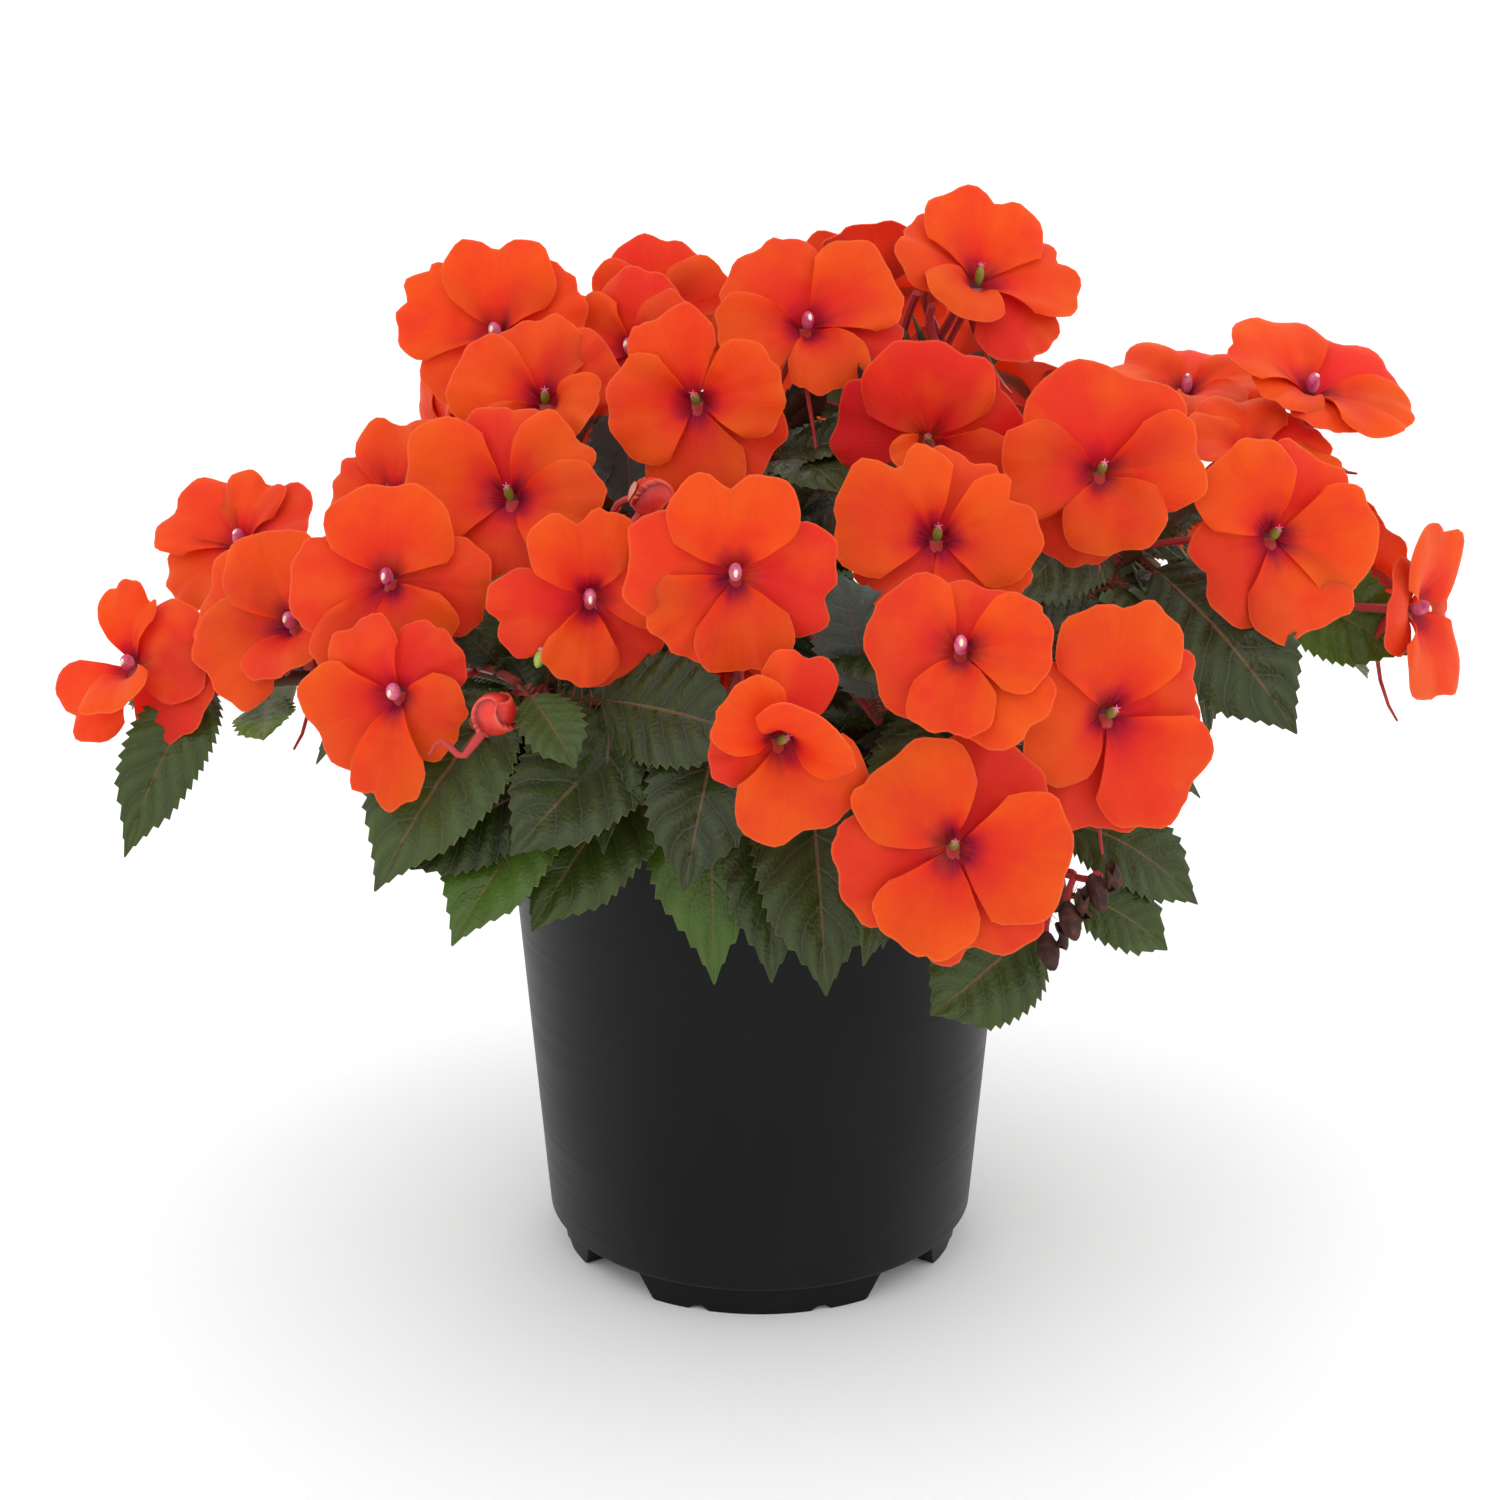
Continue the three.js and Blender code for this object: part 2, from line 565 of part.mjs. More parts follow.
// A flower facing +Z: five broad notched petals in a ring, each tucked under the next, round a column
function bloomSheet(number, across, cup, grow) {
  const radius = across / 2 + grow;
  const upper = [];
  const inner = [];
  const outer = [];
  const addPoint = (degrees, reach, height) => {
    upper.push(vec(reach * Math.cos(radians(degrees)), reach * Math.sin(radians(degrees)), height));
    return upper.length - 1;
  };
  for (let petal = 0; petal < PETALS; petal += 1) {
    const middle = 90 + 72 * petal + 6 * vary(number, 0);
    const size = radius * (1 + 0.05 * vary(number, petal + 1));
    const tilt = 1 + 0.4 * vary(number, petal + 7);
    const outline = [
      [-36, 0.8, 1.2], [-18, 0.99, tilt], [0, 0.91, -0.4], [18, 1, -tilt], [33.5, 0.8, -1.2],
    ];
    inner.push({ at: middle - 36, index: addPoint(middle - 36, THROAT, 0) });
    for (const [offset, share, lift] of outline) {
      outer.push({ at: middle + offset, index: addPoint(middle + offset, size * share, cup + lift) });
    }
  }
  const innerRing = inner.map((entry) => entry.index);
  const outerRing = outer.map((entry) => entry.index);
  inner.push({ at: inner[0].at + 360, index: inner[0].index });
  outer.push({ at: outer[0].at + 360, index: outer[0].index });
  const faces = stripBetween(inner, outer);
  const centre = addPoint(0, 0, COLUMN);
  innerRing.forEach((a, place) => faces.push([centre, a, innerRing[(place + 1) % innerRing.length]]));
  const under = upper.map((point) => point.clone().setZ(point.z - PETAL - grow));
  under[centre].set(0, FUNNEL[0], FUNNEL[1] - grow);
  upper.forEach((point) => point.setZ(point.z + grow));
  return sheet(upper, under, faces, outerRing);
}

function bloomSolid(number, bloom, grow) {
  const [, , , across, cup] = bloom;
  const { middle, turn } = bloomPlace(bloom);
  const matrix = new THREE.Matrix4().compose(middle, turn, vec(1, 1, 1));
  return bloomSheet(number, across, cup, grow).transform(matrix.elements);
}

// A flower stalk: from the stem up and outward, then straight into the back of its flower
function stalkPoints(start, end, facing, bow) {
  const reach = start.distanceTo(end);
  const behind = end.clone().addScaledVector(facing, -0.45 * reach);
  const climb = Math.max(end.z - start.z, 0);
  const rise = start.clone().addScaledVector(UP, STALK_LIFT * reach + STALK_RISE * climb).add(bow);
  const curve = new THREE.CubicBezierCurve3(start, rise, behind, end);
  const points = [];
  for (let step = 0; step <= STALK_STEPS; step += 1) {
    points.push(curve.getPoint(step / STALK_STEPS));
  }
  return points;
}

function stalkBows() {
  const bows = [vec(0, 0, 0)];
  for (const reach of [10, 20, 30]) {
    for (let turn = 0; turn < 6; turn += 1) {
      const angle = (Math.PI * turn) / 3;
      bows.push(vec(reach * Math.cos(angle), reach * Math.sin(angle), 0));
    }
  }
  return bows;
}

function stalkLimb(points, grow) {
  return limb(points, points.map(() => STALK_RADIUS + grow), 3);
}

// A closed bud or a pod: a pointed egg along the way it faces
function budSolid(middle, facing, length, girth, grow) {
  const egg = new THREE.SphereGeometry(1, 8, 5);
  egg.rotateX(Math.PI / 2);
  egg.scale(girth / 2 + grow, girth / 2 + grow, length / 2 + grow);
  const turn = new THREE.Quaternion().setFromUnitVectors(UP, facing);
  const matrix = new THREE.Matrix4().compose(middle, turn, vec(1, 1, 1));
  return solidOfGeometry(egg.applyMatrix4(matrix));
}

// What is already in its place: its node, its solid, and the same thing a little thicker
const placed = [];

function settle(node, solid, thick, stem = false) {
  placed.push({ node, solid, thick, stem, box: solid.boundingBox() });
}

// The solids that one meets. Roots in the same stem may cross, so a meeting close to the root is let pass.
function meets(solid, others, node, root) {
  const box = solid.boundingBox();
  const near = others.filter((other) => [0, 1, 2].every((axis) => (
    box.min[axis] <= other.box.max[axis] && box.max[axis] >= other.box.min[axis])));
  return near.filter((other) => {
    const overlap = solid.intersect(other.solid);
    if (overlap.volume() === 0) {
      return false;
    }
    const { min, max } = overlap.boundingBox();
    return other.node !== node || [min, max].some((corner) => vec(...corner).distanceTo(root) > ROOT_ZONE);
  });
}

// The first choice that clears the others. Where none does, the one that meets the fewest is cut clear.
function firstClear(node, root, others, choices, make) {
  let best = null;
  for (const choice of choices) {
    const met = meets(make(choice, CLEAR), others, node, root);
    if (best === null || met.length < best.met.length) {
      best = { choice, met };
    }
    if (met.length === 0) {
      break;
    }
  }
  const foreign = best.met.filter((other) => other.node !== node);
  const whole = make(best.choice, 0);
  const solid = foreign.reduce((rest, other) => largestBody(rest.subtract(other.thick)), whole);
  return { solid, thick: make(best.choice, GAP) };
}

const petalOrange = new THREE.MeshStandardMaterial({ color: 0xea4622, roughness: 0.55, metalness: 0 });
const leafGreen = new THREE.MeshStandardMaterial({ color: 0x35482c, roughness: 0.5, metalness: 0 });
const potCharcoal = new THREE.MeshStandardMaterial({ color: 0x252527, roughness: 0.45, metalness: 0 });
const mixBrown = new THREE.MeshStandardMaterial({ color: 0x2b1f16, roughness: 0.95, metalness: 0 });

const plant = new THREE.Group();

function addMesh(name, solid, material) {
  const mesh = new THREE.Mesh(geometryOf(solid), material);
  mesh.name = name;
  plant.add(mesh);
}

const pot = potSolid();
settle('pot', pot, pot);
addMesh('pot', pot, potCharcoal);

let mix = mixSolid();
for (const shoot of SHOOTS) {
  mix = mix.subtract(stemHole(shoot));
}
settle('potting_mix', mix, mix);
addMesh('potting_mix', mix, mixBrown);

// Flowers come first, then stems and stalks, and leaves last, round all the others
const blooms = [];
for (const shoot of SHOOTS) {
  for (const bloom of shoot.blooms) {
    const number = blooms.length + 1;
    const name = `bloom_${String(number).padStart(2, '0')}`;
    const solid = bloomSolid(number, bloom, 0);
    blooms.push({ name, shoot, bloom });
    settle(name, solid, bloomSolid(number, bloom, GAP));
    addMesh(name, solid.simplify(TRIFLE), petalOrange);
  }
}

const grown = new Map();
for (const shoot of SHOOTS) {
  const stem = stemLimb(shoot, 0);
  grown.set(shoot.name, stem);
  settle(shoot.name, stem, stemLimb(shoot, GAP), true);
}

// Where a leaf or a stalk leaves the stem: just under its skin, on the side that it grows to
function rootPoint(shoot, share, towards) {
  const axis = stemPoint(shoot, share);
  const way = towards.clone().sub(axis).normalize();
  return axis.addScaledVector(way, ROOT_INSET);
}

// Grows a limb or a leaf on a shoot. A stalk's own flower doesn't count as in its way, but trims its end.
function grow(shoot, root, flower, choices, make) {
  const others = placed.filter((entry) => entry.node !== flower && !entry.stem);
  const stems = placed.filter((entry) => entry.stem && entry.node !== shoot.name);
  const { solid, thick } = firstClear(shoot.name, root, [...others, ...stems], choices, make);
  const seat = placed.find((entry) => entry.node === flower);
  const seated = seat === undefined ? solid : largestBody(solid.subtract(seat.thick));
  grown.set(shoot.name, grown.get(shoot.name).add(seated));
  settle(shoot.name, seated, thick);
}

for (const shoot of SHOOTS) {
  const own = blooms.filter((entry) => entry.shoot === shoot);
  own.forEach(({ name, bloom }, place) => {
    const { middle, facing } = bloomPlace(bloom);
    const end = middle.clone().addScaledVector(facing, -STALK_SEAT);
    const start = rootPoint(shoot, FIRST_STALK_AT - STALK_SPACING * place, end);
    const make = (bow, thicker) => stalkLimb(stalkPoints(start, end, facing, bow), thicker);
    grow(shoot, start, name, stalkBows(), make);
  });
  for (const [middle, azimuth, elevation] of shoot.buds ?? []) {
    const { facing } = bloomPlace([middle, azimuth, elevation]);
    const end = vec(...middle).addScaledVector(facing, -BUD_LENGTH / 3);
    const start = rootPoint(shoot, BUD_AT, end);
    const make = (bow, thicker) => (
      stalkLimb(stalkPoints(start, end, facing, bow), thicker)
        .add(budSolid(vec(...middle), facing, BUD_LENGTH, BUD_GIRTH, thicker)));
    grow(shoot, start, null, stalkBows(), make);
  }
  for (const middle of shoot.pods ?? []) {
    const facing = vec(...POD_FACING).normalize();
    const end = vec(...middle).addScaledVector(facing, -POD_LENGTH / 3);
    const start = rootPoint(shoot, POD_AT, end);
    const make = (bow, thicker) => (
      stalkLimb(stalkPoints(start, end, facing, bow), thicker)
        .add(budSolid(vec(...middle), facing, POD_LENGTH, POD_GIRTH, thicker)));
    grow(shoot, start, null, stalkBows(), make);
  }
}

for (const shoot of SHOOTS) {
  for (const [share, tip, arch, width, azimuth] of shoot.leaves) {
    const base = rootPoint(shoot, share, vec(...tip));
    const make = (move, thicker) => leafBlade(base, vec(...tip), arch, width, azimuth, move, thicker);
    grow(shoot, base, null, leafMoves(), make);
  }
}

for (const shoot of SHOOTS) {
  addMesh(shoot.name, largestBody(grown.get(shoot.name)).simplify(TRIFLE), leafGreen);
}

export default plant;
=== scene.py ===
import math
import random

import bmesh
import bpy
from mathutils import Matrix, Vector, noise
from mathutils.kdtree import KDTree


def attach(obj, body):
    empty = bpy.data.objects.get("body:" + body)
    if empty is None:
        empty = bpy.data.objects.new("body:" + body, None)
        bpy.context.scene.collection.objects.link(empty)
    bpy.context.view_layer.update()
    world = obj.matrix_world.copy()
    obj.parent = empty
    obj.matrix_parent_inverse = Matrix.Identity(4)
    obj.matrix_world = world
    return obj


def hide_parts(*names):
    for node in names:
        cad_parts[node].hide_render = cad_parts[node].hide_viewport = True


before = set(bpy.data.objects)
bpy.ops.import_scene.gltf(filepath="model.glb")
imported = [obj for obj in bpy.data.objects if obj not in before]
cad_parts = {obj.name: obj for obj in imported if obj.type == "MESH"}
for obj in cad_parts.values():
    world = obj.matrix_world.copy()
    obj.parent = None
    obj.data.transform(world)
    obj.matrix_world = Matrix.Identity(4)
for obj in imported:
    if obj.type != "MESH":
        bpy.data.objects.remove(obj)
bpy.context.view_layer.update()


# The pot is a round nursery pot, injection moulded in recycled black polypropylene.
# Its thin wall flares up to a turned rim band with a fine ridge, and it stands on four moulded feet.
POT_SIDES = 128
FLOOR_UNDERSIDE = 9.5
FLOOR_TOP = 11.5
FLOOR_RADIUS = 65.3
DRAINS = 6
DRAIN_RADIUS = 5
DRAIN_RING = 42
# The wall's section as radius and height, up the outside, over the rim and down the inside
POT_SECTION = [
    (64.8, 9.5), (66.2, 9.8), (67, 11), (70.6, 58), (74.1, 104), (77.5, 148), (80.1, 148), (80.45, 148.8),
    (80.5, 153), (80.85, 153.5), (81, 154), (80.85, 154.5), (80.5, 155), (80.5, 159.1), (80.2, 159.8),
    (79.5, 160), (78.6, 160), (78.1, 159.6), (75.7, 146), (70.4, 78), (65.2, 11.5),
]
FOOT_INNER = 55
FOOT_OUTER = 64
FOOT_TOP = 10.5
FOOT_BATTER = 1.5
# The degrees that a foot spans, and its underside as degrees from its middle and height over the ground
FOOT_SPAN = 70
FOOT_UNDERSIDE = [
    (-35, 9), (-31, 0.4), (-30, 0), (-20, 0), (-18, 1.6), (-16, 1.6), (-14, 0), (14, 0), (16, 1.6), (18, 1.6),
    (20, 0), (30, 0), (31, 0.4), (35, 9),
]


def linear(hex_colour):
    channels = [int(hex_colour[place:place + 2], 16) / 255 for place in (1, 3, 5)]
    return [c / 12.92 if c <= 0.04045 else ((c + 0.055) / 1.055) ** 2.4 for c in channels] + [1.0]


def new_material(name, **constants):
    material = bpy.data.materials.new(name)
    material.use_nodes = True
    for socket, value in constants.items():
        surface(material).inputs[socket.replace("_", " ")].default_value = value
    return material


def surface(material):
    return material.node_tree.nodes["Principled BSDF"]


def link(material, source, socket):
    """Feeds a socket from another one, or from a node's first output."""
    if isinstance(source, bpy.types.Node):
        source = source.outputs[0]
    material.node_tree.links.new(source, socket)


def add_node(material, kind, settings=None, links=None):
    """Adds a node. Settings are its options and its sockets' constants, and links are what feeds them."""
    node = material.node_tree.nodes.new("ShaderNode" + kind)
    for key, value in (settings or {}).items():
        if key == "stops":
            ramp = node.color_ramp.elements
            for rank, (position, colour) in enumerate(value):
                stop = ramp[rank] if rank < 2 else ramp.new(position)
                stop.position = position
                stop.color = linear(colour)
        elif isinstance(key, str) and hasattr(node, key):
            setattr(node, key, value)
        else:
            node.inputs[key].default_value = value
    for key, source in (links or {}).items():
        link(material, source, node.inputs[key])
    return node


def connect(material, **sources):
    for socket, source in sources.items():
        link(material, source, surface(material).inputs[socket.replace("_", " ")])


def finish_piece(name, bm, materials, replaced, sharp=50):
    """Scales a shape to metres and makes it a piece that stands for its solids. Its edges are smooth, but for
    those that turn by more than the degrees of sharp."""
    bmesh.ops.scale(bm, vec=(0.001, 0.001, 0.001), verts=bm.verts)
    mesh = bpy.data.meshes.new(name)
    bm.to_mesh(mesh)
    bm.free()
    mesh.shade_smooth()
    mesh.set_sharp_from_angle(angle=math.radians(sharp))
    for material in materials:
        mesh.materials.append(material)
    piece = bpy.data.objects.new(name, mesh)
    bpy.context.scene.collection.objects.link(piece)
    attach(piece, "root")
    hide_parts(*replaced)


def between(rows, at):
    """The value at a place in rows of place and value, straight between them."""
    for (start, first), (end, last) in zip(rows, rows[1:]):
        if at <= end:
            return first + (last - first) * max(at - start, 0) / (end - start)
    return rows[-1][1]


def turned_body(section, steps, closed=False):
    """A body turned round the upright axis from a section of radii and heights."""
    bm = bmesh.new()
    corners = [bm.verts.new((radius, 0, height)) for radius, height in section]
    after = corners[1:] + corners[:1] if closed else corners[1:]
    edges = [bm.edges.new(pair) for pair in zip(corners, after)]
    bmesh.ops.spin(bm, geom=corners + edges, axis=(0, 0, 1), cent=(0, 0, 0), angle=2 * math.pi, steps=steps,
                   use_merge=True)
    bmesh.ops.remove_doubles(bm, verts=bm.verts, dist=0.01)
    bmesh.ops.recalc_face_normals(bm, faces=bm.faces)
    return bm


def faces_of(verts):
    return list({face for vert in verts for face in vert.link_faces})


def pot_shape():
    bm = turned_body(POT_SECTION, POT_SIDES, closed=True)
    # The floor is a plate with drain holes
    rounds = bmesh.ops.create_circle(bm, segments=POT_SIDES, radius=FLOOR_RADIUS)["verts"]
    for hole in range(DRAINS):
        angle = 2 * math.pi * (hole + 0.5) / DRAINS
        drain = bmesh.ops.create_circle(bm, segments=24, radius=DRAIN_RADIUS)["verts"]
        spot = (DRAIN_RING * math.cos(angle), DRAIN_RING * math.sin(angle), 0)
        bmesh.ops.translate(bm, vec=spot, verts=drain)
        rounds += drain
    outlines = {edge for vert in rounds for edge in vert.link_edges}
    plate = bmesh.ops.triangle_fill(bm, use_beauty=True, use_dissolve=False, edges=list(outlines))["geom"]
    faces = [item for item in plate if isinstance(item, bmesh.types.BMFace)]
    for face in faces:
        if face.normal.z < 0:
            face.normal_flip()
    bmesh.ops.translate(bm, vec=(0, 0, FLOOR_TOP), verts=rounds)
    bmesh.ops.solidify(bm, geom=faces, thickness=FLOOR_TOP - FLOOR_UNDERSIDE)
    # Each foot is a block swept round the axis, and its lower corners then follow its underside and lean in
    for direction in (0, 90, 180, 270):
        block = ((FOOT_INNER, FOOT_TOP), (FOOT_OUTER, FOOT_TOP), (FOOT_OUTER, 0), (FOOT_INNER, 0))
        corners = [bm.verts.new((radius, 0, height)) for radius, height in block]
        known = set(bm.verts) - set(corners)
        bmesh.ops.spin(bm, geom=[bm.faces.new(corners)], axis=(0, 0, 1), cent=(0, 0, 0),
                       angle=math.radians(FOOT_SPAN), steps=FOOT_SPAN)
        foot = [vert for vert in bm.verts if vert not in known]
        for vert in foot:
            if vert.co.z < FOOT_TOP / 2:
                degrees = math.degrees(math.atan2(vert.co.y, vert.co.x)) - FOOT_SPAN / 2
                vert.co.z = between(FOOT_UNDERSIDE, degrees)
                radius = math.hypot(vert.co.x, vert.co.y)
                batter = FOOT_BATTER * (1 - vert.co.z / FLOOR_UNDERSIDE)
                inward = (radius + (batter if radius < FOOT_OUTER - 1 else -batter)) / radius
                vert.co.x *= inward
                vert.co.y *= inward
        bmesh.ops.recalc_face_normals(bm, faces=faces_of(foot))
        turn = Matrix.Rotation(math.radians(direction - FOOT_SPAN / 2), 3, "Z")
        bmesh.ops.rotate(bm, cent=(0, 0, 0), matrix=turn, verts=foot)
    return bm


# Moulded polypropylene: near black, with a satin skin that turns grey where light grazes it.
# Handling leaves fine level scuffs, drawn at about 1 mm, and dried water leaves a faint pale bloom.
polypropylene = new_material(
    "moulded recycled polypropylene", IOR=1.49, Roughness=0.42, Specular_IOR_Level=0.15)
place = add_node(polypropylene, "TexCoord").outputs["Object"]
scuff_map = add_node(polypropylene, "Mapping", {"Scale": (9, 9, 900)}, {"Vector": place})
scuffs = add_node(polypropylene, "TexNoise", {"Scale": 1.0, "Detail": 4.0}, {"Vector": scuff_map})
bloom_map = add_node(polypropylene, "Mapping", {"Scale": (28, 28, 14)}, {"Vector": place})
clouds = add_node(polypropylene, "TexNoise", {"Scale": 1.0, "Detail": 6.0}, {"Vector": bloom_map})
grain = add_node(polypropylene, "TexNoise", {"Scale": 2600.0, "Detail": 2.0}, {"Vector": place})
black = add_node(polypropylene, "ValToRGB", {"stops": [(0.3, "#0B0B0D"), (0.75, "#131315")]}, {"Fac": clouds})
gloss = add_node(
    polypropylene, "MapRange", {"From Min": 0.3, "From Max": 0.7, "To Min": 0.39, "To Max": 0.46},
    {"Value": scuffs})
relief = add_node(polypropylene, "Math", {"operation": "MULTIPLY_ADD", 1: 0.2}, {0: scuffs, 2: grain})
skin = add_node(polypropylene, "Bump", {"Strength": 0.2, "Distance": 0.0001}, {"Height": relief})
connect(polypropylene, Base_Color=black, Roughness=gloss, Normal=skin)
finish_piece("nursery_pot", pot_shape(), [polypropylene], ["pot"], sharp=40)


# The potting mix is damp peat with bark and a little perlite, pressed into the pot and crumbly on top.
# It fills the pot from its floor and shows as a dark rough ground between the stems.
MIX_TOP = 144
# Its section as radius and height, from the pot's floor up the wall and in over the top in narrow rings
MIX_SECTION = [(0, 12), (65, 12), (75.1, 143), (74, 143.6)]
MIX_SECTION += [(radius, MIX_TOP) for radius in range(70, 2, -4)] + [(0, MIX_TOP)]
CRUMBS = 420
CRUMB_RING = 73
CHIP_SHARE = 0.25
random.seed(11)


def paint(verts, material_number):
    for face in faces_of(verts):
        face.material_index = material_number


def mottle(material, cells, stops, relief=None):
    """Tints a material with cells of one size. Relief is their strength and depth, where they are raised."""
    place = add_node(material, "TexCoord").outputs["Object"]
    pattern = add_node(material, "TexNoise", cells, {"Vector": place})
    tint = add_node(material, "ValToRGB", {"stops": stops}, {"Fac": pattern})
    connect(material, Base_Color=tint)
    if relief:
        strength, depth = relief
        raised = add_node(material, "Bump", {"Strength": strength, "Distance": depth}, {"Height": pattern})
        connect(material, Normal=raised)
    return tint


def mix_shape():
    bm = turned_body(MIX_SECTION, 96)
    for vert in bm.verts:
        if vert.co.z > MIX_TOP - 0.2:
            vert.co.z += 3 * noise.noise(vert.co / 14) + 1.6 * noise.noise(vert.co / 4)
    for crumb in range(CRUMBS):
        angle = random.uniform(0, 2 * math.pi)
        reach = CRUMB_RING * math.sqrt(random.random())
        size = random.uniform(0.8, 2.6)
        turn = Matrix.Rotation(random.uniform(0, 3), 4, Vector((random.random(), random.random(), 1)))
        shape = Matrix.Diagonal((size, size * random.uniform(0.5, 1), size * random.uniform(0.4, 0.9), 1))
        spot = Matrix.Translation((reach * math.cos(angle), reach * math.sin(angle), MIX_TOP + 0.4))
        lump = bmesh.ops.create_icosphere(bm, subdivisions=1, radius=1, matrix=spot @ turn @ shape)["verts"]
        paint(lump, 1 if random.random() < CHIP_SHARE else 0)
    return bm


# Damp peat: a dark brown that takes no gloss, with crumbs of about 2 mm.
peat = new_material("damp crumbly peat", Roughness=0.95, Specular_IOR_Level=0.25)
mottle(peat, {"Scale": 420.0, "Detail": 8.0, "Roughness": 0.65},
       [(0.32, "#120C08"), (0.55, "#2B1F16"), (0.78, "#4A3627")], (0.8, 0.001))
# Bark and perlite: chips from mid brown to a dusty white.
bark = new_material("bark and perlite chips", Roughness=0.9, Specular_IOR_Level=0.3)
mottle(bark, {"Scale": 90.0, "Detail": 5.0}, [(0.35, "#3A2717"), (0.6, "#6E5338"), (0.75, "#B9AE9C")])
finish_piece("potting_mix_fill", mix_shape(), [peat, bark], ["potting_mix"], sharp=60)


